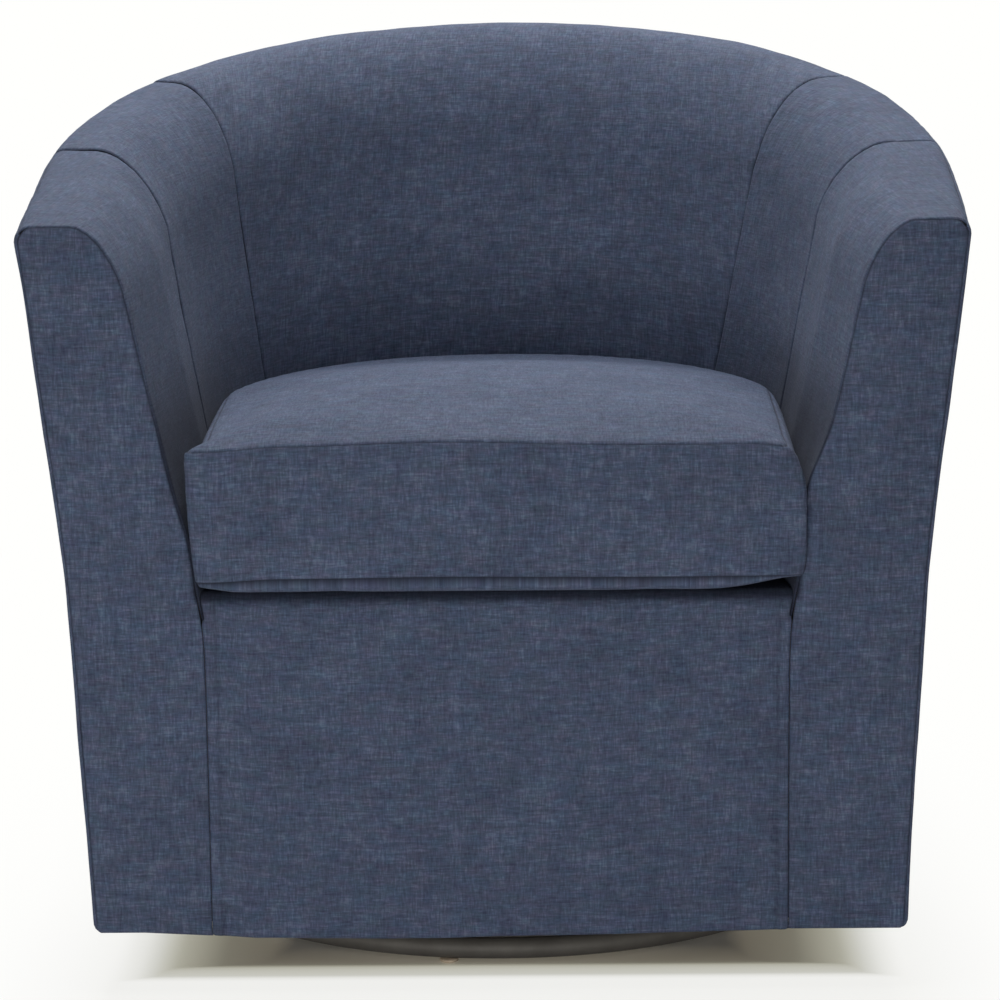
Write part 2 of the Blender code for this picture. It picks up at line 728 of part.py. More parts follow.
def make_deck():
    """Wire springs from the apron to the seat rail, the pad on them and the cloth over it."""
    wire_z = DECK_RAIL_Z + GAP + SPRING_WIRE / 2
    for index in range(SPRING_COUNT):
        x = (index - (SPRING_COUNT - 1) / 2) * SPRING_PITCH
        back_y = seat_rail_front(x) + RAIL_LIP / 2
        front_y = FRONT_Y + COVER + 2 * GAP + RAIL / 2
        path = [(x, front_y, wire_z)]
        for along in steps(SPRING_WAVES * 6):
            sway = SPRING_WAVE * math.sin(2 * math.pi * SPRING_WAVES * along)
            path.append((x + sway, mix(front_y + SPRING_LEAD, back_y - SPRING_LEAD, along), wire_z))
        path.append((x, back_y, wire_z))
        wire(f"seat_spring_{index + 1}", path, SPRING_WIRE / 2, SPRING_STEEL)

    pad_z = wire_z + SPRING_WIRE / 2 + GAP
    front_y = FRONT_Y + DECK_FRONT_INSET
    pad_rings = [tub_outline(z, FIT, front_y, DECK_POINTS) for z in (pad_z, pad_z + DECK_PAD)]
    loft("deck_pad", pad_rings, WADDING, smooth=False)
    cloth_z = pad_z + DECK_PAD + GAP
    front_y = FRONT_Y + BORDER_FLANGE + GAP
    cloth_rings = [tub_outline(z, FIT, front_y, DECK_POINTS) for z in (cloth_z, cloth_z + DECK_CLOTH)]
    loft("deck_cloth", cloth_rings, NAVY, smooth=False)


def seat_rail_front(x):
    """How far back the seat rail's front face is at a distance from the middle."""
    low, high = 0.0, 1 - BEND_SHARE
    for _ in range(30):
        middle = (low + high) / 2
        if inner_plan(middle, DECK_RAIL_Z, -RAIL_LIP).x < abs(x):
            low = middle
        else:
            high = middle
    return inner_plan(low, DECK_RAIL_Z, -RAIL_LIP).y


def wire(name, path, radius, finish):
    """A bent wire as a closed mesh with filled ends."""
    curve = bpy.data.curves.new(name, "CURVE")
    curve.dimensions = "3D"
    curve.bevel_depth = radius
    curve.bevel_resolution = 0
    curve.use_fill_caps = True
    line = curve.splines.new("POLY")
    line.points.add(len(path) - 1)
    for point, place in zip(line.points, path):
        point.co = (*place, 1)
    curve.materials.append(finish)
    made = bpy.data.objects.new(name, curve)
    made.parent = seat_axis
    made.matrix_parent_inverse = seat_axis.matrix_world.inverted()
    parts.objects.link(made)
    return made


# Loose cushion

OUTLINE_BACK = 25
OUTLINE_CORNER = 3
OUTLINE_FRONT = 5


def cushion_outline(z, swell):
    """The cushion's plan at a height: it fills the tub behind, and its front stands proud."""
    front_y = CUSHION_FRONT_Y + CUSHION_BULGE - swell
    points = []
    for around in places_between(1, -1, OUTLINE_BACK - 1):
        place = inner_plan(around, z, -FIT)
        width = abs(place.x) - soft_ramp(abs(place.x) - CUSHION_HALF_WIDTH - swell, CUSHION_BLEND)
        points.append(Vector((math.copysign(width, around), max(place.y, FRONT_Y + CUSHION_CORNER), z)))
    middle = points[0].x - CUSHION_CORNER
    corner = []
    for share in steps(OUTLINE_CORNER)[1:]:
        turn = share * math.pi / 2
        back = CUSHION_BOW + CUSHION_CORNER * (1 - math.sin(turn))
        corner.append((CUSHION_CORNER * math.cos(turn), back))
    points += [Vector((-middle - out, front_y + back, z)) for out, back in corner]
    for across in places_between(-1, 1, OUTLINE_FRONT + 1)[1:-1]:
        points.append(Vector((across * middle, front_y + CUSHION_BOW * across ** 2, z)))
    points += [Vector((middle + out, front_y + back, z)) for out, back in reversed(corner)]
    return points


def cushion_ring(scale, z, swell=0.0, inset=0.0):
    """The plan drawn in towards its middle by a scale, and then by an inset."""
    centre = Vector((0, (CUSHION_FRONT_Y + INNER_BACK_Y) / 2, z))
    ring = []
    for point in cushion_outline(z, swell):
        arm = (point - centre) * scale
        ring.append(centre + arm * (1 - inset / max(arm.length, inset + NUDGE)))
    return ring


TOP_SCALE_SHARES = (1.0, 0.985, 0.94, 0.84, 0.62, 0.30)
UNDER_SCALE_SHARES = (0.35, 0.80, 0.95)


def crown(scale, y):
    """How high the top stands above its seam: it falls away towards the back."""
    share = min(max((y - CROWN_FALL_Y) / CROWN_FALL_RUN, 0), 1)
    fall = share * share * (3 - 2 * share)
    return CUSHION_CROWN * (1 - scale ** 4) ** 0.5 * (1 - CROWN_FALL_SHARE * fall)


def top_rings(inset):
    rings = []
    for scale in TOP_SCALE_SHARES:
        ring = cushion_ring(scale, CUSHION_SEAM_TOP_Z - inset, inset=inset)
        for point in ring:
            point.z += crown(scale, point.y)
        rings.append(ring)
    return rings


def under_rings(inset):
    rise = CUSHION_SEAM_LOW_Z - UNDER_Z
    rings = [cushion_ring(scale, UNDER_Z + rise * scale ** 12 + inset, inset=inset)
             for scale in UNDER_SCALE_SHARES]
    rings.append(cushion_ring(1.0, CUSHION_SEAM_LOW_Z + inset, inset=inset))
    return rings


def make_cushion():
    """Foam core in a sewn cover: top and bottom panels, boxing round the front and sides, zip band."""
    core_inset = CUSHION_PANEL + CORE_CLEARANCE
    middle_z = (CUSHION_SEAM_LOW_Z + CUSHION_SEAM_TOP_Z) / 2
    core = under_rings(core_inset)
    core.append(cushion_ring(1.0, middle_z, swell=CUSHION_BULGE, inset=core_inset))
    core += top_rings(core_inset)
    loft("cushion_core", core, FOAM)
    loft("cushion_top_panel", list(reversed(top_rings(0.0))) + top_rings(CUSHION_PANEL), NAVY)
    loft("cushion_bottom_panel", under_rings(0.0) + list(reversed(under_rings(CUSHION_PANEL))), NAVY)

    lip = CUSHION_PANEL + GAP
    levels = ((CUSHION_SEAM_LOW_Z + lip, 0.0), (middle_z, CUSHION_BULGE), (CUSHION_SEAM_TOP_Z - lip, 0.0))
    outer = [cushion_ring(1.0, z, swell=swell) for z, swell in levels]
    inner = [cushion_ring(1.0, z, swell=swell, inset=CUSHION_PANEL) for z, swell in levels]
    count = len(outer[0])
    first = round((OUTLINE_BACK - 1) * (1 - ZIP_SHARE) / 2)
    last = OUTLINE_BACK - 1 - first

    def band(name, start, length, rings_out, rings_in):
        def place(rings):
            return lambda index, level: rings[level][(start + index) % count]
        slab(name, place(rings_out), place(rings_in), range(length + 1), range(3), NAVY)

    band("cushion_zip_band", first, last - first, outer, inner)
    gap_out = [trimmed(ring, first, last) for ring in outer]
    gap_in = [trimmed(ring, first, last) for ring in inner]
    band("cushion_boxing", last, count - (last - first), gap_out, gap_in)


def trimmed(ring, first, last):
    """A ring whose two points at the zip band's ends are drawn back a hair from it."""
    moved = list(ring)
    moved[first] = ring[first] + (ring[first - 1] - ring[first]).normalized() * GAP
    moved[last] = ring[last] + (ring[last + 1] - ring[last]).normalized() * GAP
    return moved


# Swivel and base

def make_dust_cover():
    """A thin cloth under the frame, cut out round the bearing plate."""
    start = 1 - POST_SHARE
    z = FRAME_Z - GAP - DUST_CLOTH
    outline = [outer_inset(place, z, RAIL_DEPTH + RAIL / 2) for place in places_between(start, -start, 39)]
    hole = []
    for point in outline:
        arm = (point - AXIS).xy.normalized() * DUST_HOLE_RADIUS
        hole.append(Vector((AXIS.x + arm.x, AXIS.y + arm.y, z)))
    lift = Vector((0, 0, DUST_CLOTH))
    rings = [outline, [point + lift for point in outline], [point + lift for point in hole], hole]
    loft("dust_cover", rings, BLACK_CLOTH, capped=False, smooth=False)


def make_swivel_rails():
    """Two boards across the bottom rails, which the bearing plate is bolted up to."""
    depth = RAIL_DEPTH + RAIL + GAP

    def rail_end(y, z):
        low, high = 0.0, 1.0
        for _ in range(30):
            middle = (low + high) / 2
            if outer_inset(middle, z, depth).y > y:
                low = middle
            else:
                high = middle
        return outer_inset(high, z, depth).x

    for side, word in ((-1, "front"), (1, "back")):
        middle = SWIVEL_Y + side * SWIVEL_RAIL_Y

        def face(z):
            return lambda across, y: (across * rail_end(y, FRAME_Z), y, z)

        edges = (middle - SWIVEL_RAIL_WIDTH / 2, middle + SWIVEL_RAIL_WIDTH / 2)
        slab(f"swivel_rail_{word}", face(FRAME_Z + RAIL), face(FRAME_Z), (-1, 1), edges, PLY,
             smooth=False)


def disc(name, radius, low, high, steps, finish, **options):
    """A solid turned disc or pin."""
    return turned(name, [(0, high), (radius, high), (radius, low), (0, low)], steps, finish, **options)


def make_bearing():
    """Upper plate on the seat, lower plate on the base, and the caged balls between them."""
    half = UPPER_PLATE_SIDE / 2
    upper = block("upper_bearing_plate", (-half, SWIVEL_Y - half, PLATE_LOW_Z),
                  (half, SWIVEL_Y + half, PLATE_TOP_Z), STEEL)
    groove = BALL_RADIUS + 2 * GAP
    bpy.ops.mesh.primitive_torus_add(major_radius=BALL_CIRCLE_RADIUS, minor_radius=groove,
                                     major_segments=GROOVE_STEPS, minor_segments=10)
    ring = bpy.context.object
    for holder in list(ring.users_collection):
        holder.objects.unlink(ring)
    ring.name = "groove_cutter"
    ring.location = (0, SWIVEL_Y, BALL_Z)
    cutters.objects.link(as_cutter(ring))
    boolean(upper, ring)
    bore = disc("pivot_bore", PIVOT_RADIUS + GAP, PLATE_LOW_Z - NUDGE, PLATE_TOP_Z + NUDGE, 16, None,
                collection=cutters)
    boolean(upper, as_cutter(bore))

    reach = half - BOLT_INSET
    head_top = PLATE_LOW_Z - GAP
    for index in range(4):
        across = reach if index in (0, 3) else -reach
        along = reach if index in (0, 1) else -reach
        tip = PLATE_TOP_Z + BOLT_GRIP
        profile = [(0, tip), (BOLT_RADIUS, tip), (BOLT_RADIUS, head_top), (BOLT_HEAD_RADIUS, head_top),
                   (BOLT_HEAD_RADIUS, head_top - BOLT_HEAD), (0, head_top - BOLT_HEAD)]
        bolt = turned(f"plate_bolt_{index + 1}", profile, 6, STEEL)
        bolt.location = (across, along, 0)
        hole = disc(f"bolt_hole_{index + 1}", BOLT_RADIUS + GAP, PLATE_LOW_Z - NUDGE, tip + GAP, 6, None,
                    collection=cutters)
        hole.location = (across, along, 0)
        as_cutter(hole)
        boolean(upper, hole)
        boolean(bpy.data.objects["swivel_rail_back" if along > 0 else "swivel_rail_front"], hole)

    lip = PIVOT_RADIUS + GAP
    low_z = LOWER_TOP_Z - BEARING_PLATE
    profile = [(lip, LOWER_TOP_Z)]
    dip = BALL_Z - LOWER_TOP_Z
    half_turn = math.acos(dip / groove)
    for i in range(5):
        turn = mix(-half_turn, half_turn, i / 4)
        profile.append((BALL_CIRCLE_RADIUS + groove * math.sin(turn), BALL_Z - groove * math.cos(turn)))
    profile += [(LOWER_PLATE_RADIUS, LOWER_TOP_Z), (LOWER_PLATE_RADIUS, low_z), (lip, low_z)]
    turned("lower_bearing_plate", profile, GROOVE_STEPS, STEEL, closed=True, axis=base_axis)

    ring_profile = [(BALL_CIRCLE_RADIUS - CAGE_WIDTH / 2, BALL_Z + CAGE_THICKNESS / 2),
                    (BALL_CIRCLE_RADIUS + CAGE_WIDTH / 2, BALL_Z + CAGE_THICKNESS / 2),
                    (BALL_CIRCLE_RADIUS + CAGE_WIDTH / 2, BALL_Z - CAGE_THICKNESS / 2),
                    (BALL_CIRCLE_RADIUS - CAGE_WIDTH / 2, BALL_Z - CAGE_THICKNESS / 2)]
    cage = turned("ball_cage", ring_profile, 24, STEEL, closed=True, axis=cage_axis)
    balls = bmesh.new()
    for index in range(BALL_COUNT):
        angle = 2 * math.pi * (index + 0.5) / BALL_COUNT
        made = bmesh.ops.create_uvsphere(balls, u_segments=8, v_segments=5, radius=BALL_RADIUS)
        place = (BALL_CIRCLE_RADIUS * math.cos(angle), BALL_CIRCLE_RADIUS * math.sin(angle), BALL_Z)
        bmesh.ops.translate(balls, vec=place, verts=made["verts"])
    ball_set = add("ball_set", mesh_from("ball_set", balls), None, axis=cage_axis, on_axis=True,
                   collection=cutters)
    boolean(cage, as_cutter(ball_set), "UNION")

    head_low = SPIDER_TOP_Z - SPIDER_THICKNESS - GAP
    head_high = PLATE_TOP_Z + GAP
    profile = [(0, head_high + PIVOT_HEAD), (PIVOT_HEAD_RADIUS, head_high + PIVOT_HEAD),
               (PIVOT_HEAD_RADIUS, head_high), (PIVOT_RADIUS, head_high), (PIVOT_RADIUS, head_low),
               (PIVOT_HEAD_RADIUS, head_low), (PIVOT_HEAD_RADIUS, head_low - PIVOT_HEAD),
               (0, head_low - PIVOT_HEAD)]
    turned("pivot_rivet", profile, 16, STEEL, axis=base_axis)


def make_base():
    """A hoop of round tube on four glides, and the cross spider that rises from it to the bearing."""
    tube_z = GLIDE_HEIGHT + GAP + RING_TUBE / 2
    bpy.ops.mesh.primitive_torus_add(major_radius=RING_RADIUS - RING_TUBE / 2, minor_radius=RING_TUBE / 2,
                                     major_segments=RING_STEPS, minor_segments=10)
    hoop = bpy.context.object
    for holder in list(hoop.users_collection):
        holder.objects.unlink(hoop)
    hoop.name = "base_ring"
    hoop.data.materials.append(BRONZE)
    hoop.data.shade_smooth()
    hoop.parent = base_axis
    hoop.location = (0, 0, tube_z)
    parts.objects.link(hoop)

    for index in range(4):
        angle = math.pi / 2 * index
        glide = disc(f"glide_{index + 1}", GLIDE_RADIUS, 0.0, GLIDE_HEIGHT, 16, NYLON, axis=base_axis)
        radius = RING_RADIUS - RING_TUBE / 2
        glide.location = (radius * math.cos(angle), radius * math.sin(angle), 0)

    half = SPIDER_WIDTH / 2
    foot_z = tube_z - SPIDER_THICKNESS / 2
    deck_z = SPIDER_TOP_Z - SPIDER_THICKNESS
    inner_side = (RING_RADIUS - RING_TUBE) * math.cos(math.pi / RING_STEPS) - GAP
    end = math.sqrt(inner_side ** 2 - half ** 2)
    profile = [(half, deck_z), (end - SPIDER_FOOT_RUN - SPIDER_RISE_RUN, deck_z)]
    for i in range(1, 5):
        share = i / 4
        radius = end - SPIDER_FOOT_RUN - SPIDER_RISE_RUN * (1 - share)
        profile.append((radius, mix(deck_z, foot_z, ease(share))))
    profile.append((end, foot_z))
    body = bmesh.new()
    for index in range(4):
        turn = math.pi / 2 * index
        rows = []
        for radius, z in profile:
            row = []
            for across in (-half, half):
                row.append(body.verts.new((radius * math.cos(turn) - across * math.sin(turn),
                                           radius * math.sin(turn) + across * math.cos(turn), z)))
            rows.append(row)
        for near, far in zip(rows, rows[1:]):
            body.faces.new((near[0], far[0], far[1], near[1]))
    bmesh.ops.remove_doubles(body, verts=body.verts, dist=MERGE_DISTANCE)
    middle = [corner for corner in body.verts if max(abs(corner.co.x), abs(corner.co.y)) < half + GAP]
    middle.sort(key=lambda corner: math.atan2(corner.co.y, corner.co.x))
    body.faces.new(middle)
    bmesh.ops.recalc_face_normals(body, faces=body.faces)
    if body.faces[0].normal.z < 0:
        bmesh.ops.reverse_faces(body, faces=body.faces)
    mesh = bpy.data.meshes.new("base_spider")
    body.to_mesh(mesh)
    body.free()
    spider = add("base_spider", mesh, BRONZE, axis=base_axis, on_axis=True, smooth=False)
    thicken = spider.modifiers.new("plate", "SOLIDIFY")
    thicken.thickness = SPIDER_THICKNESS
    thicken.offset = 1
    bore = disc("spider_bore", PIVOT_RADIUS + GAP, deck_z - NUDGE, SPIDER_TOP_Z + NUDGE, 16, None,
                axis=base_axis, collection=cutters)
    boolean(spider, as_cutter(bore))


make_wall_covers()
make_arm_fronts()
make_front_border()
make_rails()
make_ribs()
make_outer_board()
make_foam()
make_deck()
make_cushion()
make_dust_cover()
make_swivel_rails()
make_bearing()
make_base()
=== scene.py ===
"""Looks of the swivel club chair: sewn covers, a simulated cushion and a finished base round the frame.

Metres, +Z up, the front faces -Y. 'around' runs from -1 at the left arm front, through 0 in the middle of
the back, to 1 at the right arm front. 'reach' runs from the hem, up the outside, over the rim and down the
inside. A table with -1 and 1 holds the values of the left and the right side.
"""
import json
import math

import bpy
import numpy as np
from mathutils import Matrix, Vector, kdtree
from mathutils.geometry import delaunay_2d_cdt


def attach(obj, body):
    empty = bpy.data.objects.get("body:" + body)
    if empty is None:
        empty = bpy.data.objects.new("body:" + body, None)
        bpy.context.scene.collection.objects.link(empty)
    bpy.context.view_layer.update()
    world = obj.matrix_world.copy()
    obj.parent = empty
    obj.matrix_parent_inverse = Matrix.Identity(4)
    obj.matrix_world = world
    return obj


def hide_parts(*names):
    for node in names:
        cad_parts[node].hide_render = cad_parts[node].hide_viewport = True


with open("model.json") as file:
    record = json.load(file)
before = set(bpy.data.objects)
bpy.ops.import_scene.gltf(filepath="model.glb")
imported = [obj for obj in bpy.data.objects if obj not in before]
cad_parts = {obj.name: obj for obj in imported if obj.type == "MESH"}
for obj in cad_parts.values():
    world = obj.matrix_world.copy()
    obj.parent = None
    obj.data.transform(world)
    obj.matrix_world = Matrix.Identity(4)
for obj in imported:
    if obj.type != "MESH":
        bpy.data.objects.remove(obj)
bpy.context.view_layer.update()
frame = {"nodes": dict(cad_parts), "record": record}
scene = bpy.context.scene

SIDES = ((-1, "left"), (1, "right"))
QUARTER = math.pi / 2

# Tub sizes, as the frame has them
FRONT_Y = -0.3725
BACK_Y = 0.3845
BOTTOM_Z = 0.0545
ARM_Z = 0.676
BACK_Z = 0.790
BASE_HALF_WIDTH = 0.3545
LOWER_FLARE = 0.05
UPPER_FLARE = 0.122
FLARE_KNEE_Z = 0.385
FLARE_BLEND = 0.05
OUTER_POWER = 2.14
OUTER_TOE_IN = 0.025
BEND_Y = -0.192
BEND_SHARE = 0.36
BACK_FLARE_SHARE = 0.70
SEAT_Z = 0.37
INNER_HALF_WIDTH = 0.243
INNER_LEAN = 0.215
INNER_BACK_Y = 0.130
RECLINE = 0.53
RECLINE_Z = 0.50
RECLINE_BLEND = 0.03
INNER_POWER = 2.2
INNER_TOE_IN = 0.08
MOUTH_FLARE = 0.016
MOUTH_SHARE = 0.25
CORNER_RADIUS = 0.016
HEM_RADIUS = 0.010
ARM_ROLL_SHARE = 0.42
BACK_ROLL_SHARE = 0.72
ARM_ROLL_HEIGHT = 0.062
BACK_ROLL_HEIGHT = 0.100
TUCK_Z = 0.334
UNDER_Z = 0.3573
BORDER_HALF_WIDTH = 0.2508
BORDER_BLEND = 0.006
BORDER_TOP_RADIUS = 0.015
BORDER_FLANGE = 0.050

# Where the front of an inside arm is drawn in: depth, height and run
ARM_PRESS = {-1: (0.0035, 0.400, 0.030), 1: (0.0100, 0.445, 0.038)}

# Seams, as shares of the way from an arm front to the back: low, at the roll and at the rim
ARM_SEAM = {-1: (0.348, 0.394, 0.408), 1: (0.424, 0.436, 0.412)}
WING_SEAM = {-1: (0.592, 0.600, 0.606), 1: (0.645, 0.618, 0.604)}
SEAM_REACHES = (1.5, 3.0, 3.9, 4.6)
REAR_SEAM = 0.60
RIM_SEAM_REACH = 1.5

# Cloth: its thickness, its gap to a neighbour, and its grid, which is fine at the edges
COVER = 0.0015
GAP = 0.0003
TINY = 1e-9
FINE = 0.0006
COARSE = 0.0085
GROWTH = 1.4
REACH_STEPS = 700
WIDTH_STEPS = 200

# The weave's third coordinate, which sets the covers apart
LAYER_PACE = 1.7
ARM_FRONT_LAYER = 5.1
CUSHION_FACE_LAYER = 8.3
CUSHION_BAND_LAYER = 9.1

# A seam's dip, the swell beside it, and the width of the painted shade in its crease
SEAM_DEPTH = 0.0018
SEAM_WIDTH = 0.0015
SEAM_POWER = 1.5
SEAM_SWELL = 0.0003
SWELL_PLACE = 0.011
SWELL_WIDTH = 0.006
PAINTED_CREASE_WIDTH = 0.0009

# Gathers along a seam, and the drift of their pace and height
PUCKER_HEIGHT = 0.00018
PUCKER_PACE = 0.0036
PUCKER_REACH = 0.009
SLOW_DRIFT = 0.071
QUICK_DRIFT = 0.029
QUICK_SHARE = 0.6
DRIFT_TURN = 2.2
DRIFT_SWELL = 0.5

# Ripples: heights, wavelengths, and the number and spread of their waves
RIPPLE = 0.0007
LONG_RIPPLE = 0.16
SHORT_RIPPLE = 0.045
SHORT_SHARE = 0.35
FRONT_RIPPLE = 0.0006
FRONT_RIPPLE_LENGTH = 0.15
FRONT_RIPPLE_RUN = 0.02
RIPPLE_WAVES = 7
RIPPLE_SPREAD = (0.6, 1.6)

# Turned edges, and how strongly the corner and border seams are drawn in
EDGE_TURN = QUARTER / 2
EDGE_RADIUS = 0.003
WRAP_RADIUS = 0.0035
FRONT_RUN = 0.014
EDGE_FADE = 0.022
EDGE_SPACING = 0.0035
CORNER_SEAM = 0.6
BORDER_SEAM = 0.5

# Flat panels: their grid, the rings by their edge, and the arm front's dome
PANEL_PITCH = 0.0065
RING_DISTANCES = (0.0005, 0.0011, 0.0019, 0.0031, 0.0048, 0.0074, 0.0115)
RING_SLACK = 0.97
GRID_SLACK = 0.6
ARM_FRONT_DOME = 0.003
ARM_FRONT_DOME_RUN = 0.035

# Border: its narrowing behind, its hem, which sags by (x, drop), its tuck, and its seam's ridge with a
# painted shadow line beside it
BORDER_TAPER = 0.027
BORDER_SPACING = 0.0025
HEM_EDGE = 0.006
HEM_TURNING = 0.02
HEM_SAG = ((-0.310, 0.0), (-0.2508, 0.0030), (-0.215, 0.0060), (-0.100, 0.0062), (0.080, 0.0050),
           (0.200, 0.0010), (0.2508, 0.0))
SAG_RUN = 0.08
TUCK_RUN = 0.006
TUCK_GAP = 0.0004
RIDGE_HEIGHT = 0.0005
RIDGE_PLACE = 0.0095
RIDGE_RUN = 0.0016
RIDGE_SHADE = 0.30

# Painted shade on the cloth under the cushion's lip, and on the cloth tucked in behind the cushion
LIP_SHADE = 0.80
LIP_SHADE_Z = 0.3462
LIP_SHADE_RUN = 0.0065
TUCK_SHADE = 0.90
TUCK_SHADE_RUN = 0.085
TUCK_SHADE_Y = 0.10

# Cushion plan: half widths low, in the middle and at the top, and the top edge's drop behind its ears
CUSHION_FRONT_Y = -0.3845
CUSHION_LOW_Z = 0.370
CUSHION_TOP_Z = 0.486
CUSHION_HEIGHT = CUSHION_TOP_Z - CUSHION_LOW_Z
CUSHION_CENTRE = np.array([0, (CUSHION_FRONT_Y + INNER_BACK_Y) / 2])
CUSHION_WIDTHS = {-1: (0.2545, 0.2592, 0.2612), 1: (0.2590, 0.2608, 0.2610)}
CUSHION_DROP = {-1: 0.0117, 1: 0.0125}
DROP_POWER = 10
EAR_SHARE = {-1: 1.0, 1: 0.1}
EAR_RUN = 0.045
CUSHION_FIT = 0.0010
CUSHION_BLEND = 0.002
CUSHION_CORNER = 0.010
CORNER_BULGE = {-1: 0.0065, 1: 0.0095}
CUSHION_BOW = 0.003
CUSHION_BULGE = 0.006
BACK_STEPS = 300
CORNER_STEPS = 16
FRONT_STEPS = 60
CUSHION_STEPS = 440

# Cushion faces: the crown and its fall to the back, and the lip below with its pinched corners
CUSHION_CROWN = 0.021
CROWN_POWER = 2.6
CROWN_EASE = 0.85
CROWN_FALL_Y = -0.100
CROWN_FALL_RUN = 0.200
CROWN_FALL_SHARE = 0.6
LIP_RUN = 0.016
PINCH_RUN = {-1: 0.016, 1: 0.042}
LOW_SEAM = 0.5
SEAM_NUDGE = 0.6

# Bow of the front seams, and their hang at the corners: start, run, low and top depth
BOW_X = -0.04
BOW_WIDTH = 0.10
BOW_LOW = 0.0015
BOW_TOP = 0.0040
BOW_DEPTH = 0.12
HANGS = {-1: (0.185, 0.070, 0.0030, 0.0042), 1: (0.222, 0.028, 0.0, 0.0026)}
LOW_SEAM_RUN = 0.020

# Stuffing: the cloth simulation, and how its push is read and eased
SIM_VOXEL = 0.008
SIM_PRESSURE = 4.0
SIM_FRAMES = 20
SIM_CAP = 0.008
SIM_NEIGHBOURS = 6
SIM_SOFTNESS = 0.002
SIM_SEAM_RUN = 0.02
SIM_CROWN = 0.004
SIM_SIDE_Y = 0.03
SIM_SIDE_SHARE = 0.15

# Cloth tone: stretch of each noise, its detail and roughness, and its share. The first six are yarns.
TONES = (((600, 105, 3), 2, 0.6, 1.0), ((105, 600, 5), 2, 0.6, 1.0), ((640, 20, 7), 1, 0.5, 0.28),
         ((20, 640, 9), 1, 0.5, 0.28), ((210, 34, 15), 1, 0.5, 0.28), ((34, 210, 17), 1, 0.5, 0.28),
         ((62, 62, 62), 3, 0.6, 0.42), ((14, 14, 14), 1, 0.5, 0.30))
TONE_COLOURS = ((0.34, (0.028, 0.036, 0.067)), (0.455, (0.056, 0.071, 0.118)), (0.53, (0.080, 0.101, 0.162)),
                (0.66, (0.152, 0.188, 0.278)))

# Drift of the cloth's hue: stretch of the noise, and the tints of its low and high end
HUES = (((70, 150, 11), (1.085, 0.962, 1.0), (0.915, 1.042, 1.0)),
        ((46, 80, 13), (1.045, 1.0, 0.955), (0.955, 1.0, 1.045)))
HUE_LOW, HUE_HIGH = 0.36, 0.64
# Painted shade in seam creases, under the cushion's lip and behind the cushion: its colour and strength
PAINTED_SHADE_COLOUR = (0.008, 0.009, 0.018, 1)
PAINTED_SHADE_STRENGTH = 0.85

# Relief of the weave: twice its thread spacing, the weights of thread and yarn, depth and strength
YARN_PITCH = 0.0011
THREAD_WEIGHT = 0.35
YARN_WEIGHT = 0.9
WEAVE_DEPTH = 0.0003
WEAVE_STRENGTH = 0.55

# Plain finishes: dark and light tone, roughness, scale of the grain, bump, metallic and stretch
PLAIN = {
    "bronze_enamel": ((0.100, 0.092, 0.080), (0.130, 0.120, 0.105), 0.64, 30, 0.00004, 0.25),
    "zinc_steel": ((0.46, 0.46, 0.47), (0.62, 0.62, 0.64), 0.36, 60, 0.00003, 1.0),
    "spring_steel": ((0.15, 0.15, 0.16), (0.25, 0.25, 0.26), 0.42, 80, 0.00003, 1.0),
    "glide_nylon": ((0.56, 0.44, 0.31), (0.66, 0.54, 0.40), 0.50, 90, 0.00005),
    "plywood": ((0.40, 0.26, 0.13), (0.62, 0.44, 0.25), 0.65, 9, 0.0003, 0.0, (1, 12, 12)),
    "fibreboard": ((0.26, 0.17, 0.10), (0.40, 0.28, 0.17), 0.80, 60, 0.0002),
    "foam": ((0.74, 0.68, 0.50), (0.88, 0.83, 0.65), 0.92, 220, 0.0006),
    "wadding": ((0.78, 0.78, 0.76), (0.92, 0.92, 0.90), 1.0, 120, 0.0015),
    "dust_cloth": ((0.012, 0.012, 0.014), (0.034, 0.034, 0.038), 0.95, 260, 0.0003),
}
GRAIN_LOW, GRAIN_HIGH = 0.35, 0.65
FINE_SCALE = 6
UNEVEN = 0.16

# Painted shadow under the chair, in the floor's glow over its real shade: brightness by the distance aside
# and to the front or back, and its tint
SHADE_X = 0.007
SHADE_ASIDE = ((0.190, 0.0), (0.215, 0.10), (0.257, 0.15), (0.296, 0.352), (0.330, 0.745), (0.350, 0.855),
               (0.450, 0.95), (0.700, 1.0))
SHADE_LEVELS = ((0.237, 0.02), (0.246, 0.05), (0.284, 0.11), (0.290, 0.15), (0.2945, 0.36), (0.300, 0.46),
                (0.324, 0.57), (0.330, 0.85), (2.0, 1.0))
FLOOR_TINT = ((0.09, (1.0, 0.87, 0.62)), (0.16, (1.0, 0.94, 0.71)), (0.35, (1.0, 0.98, 0.80)),
              (0.60, (1.0, 1.0, 0.93)), (0.90, (1.0, 1.0, 0.985)))

# Base, and the glide's profile as shares of its radius with heights
SWIVEL_Y = 0.0125
BASE_TURN = math.radians(-9.25)
RING_RADIUS = 0.305
RING_TUBE = 0.019
RING_STEPS = (192, 28)
GLIDE_RADIUS = 0.0085
GLIDE_HEIGHT = 0.003
GLIDE_PROFILE = ((0.80, 0.0), (0.96, 0.0007), (1.0, 0.0017), (0.97, 0.0025), (0.88, GLIDE_HEIGHT))
GLIDE_STEPS = 40
GLIDE_COUNT = 4

# Camera, as the photograph places it
CAMERA_PLACE = (0.0567, -3.7725, 1.0861)
CAMERA_PAN = -0.015463
CAMERA_PITCH = -0.188371
CAMERA_ROLL = -0.011078
CAMERA_LENS = 145.97

# Lamps: place, target, width, height and power, and the room's own light
LAMPS = {
    "far_box": ((0.05, 2.2, 2.9), (0, 0, 0.5), 2.2, 1.2, 88),
    "top_box": ((-0.15, 0.0, 3.3), (0, 0, 0.5), 2.2, 1.2, 55),
    "low_box": ((-0.5, -2.3, 0.2), (-0.15, 0, 0.3), 3.0, 0.3, 20),
}
ROOM_LIGHT = 0.02


def mix(start, end, share):
    """The value a share of the way from start to end."""
    return start + (end - start) * share


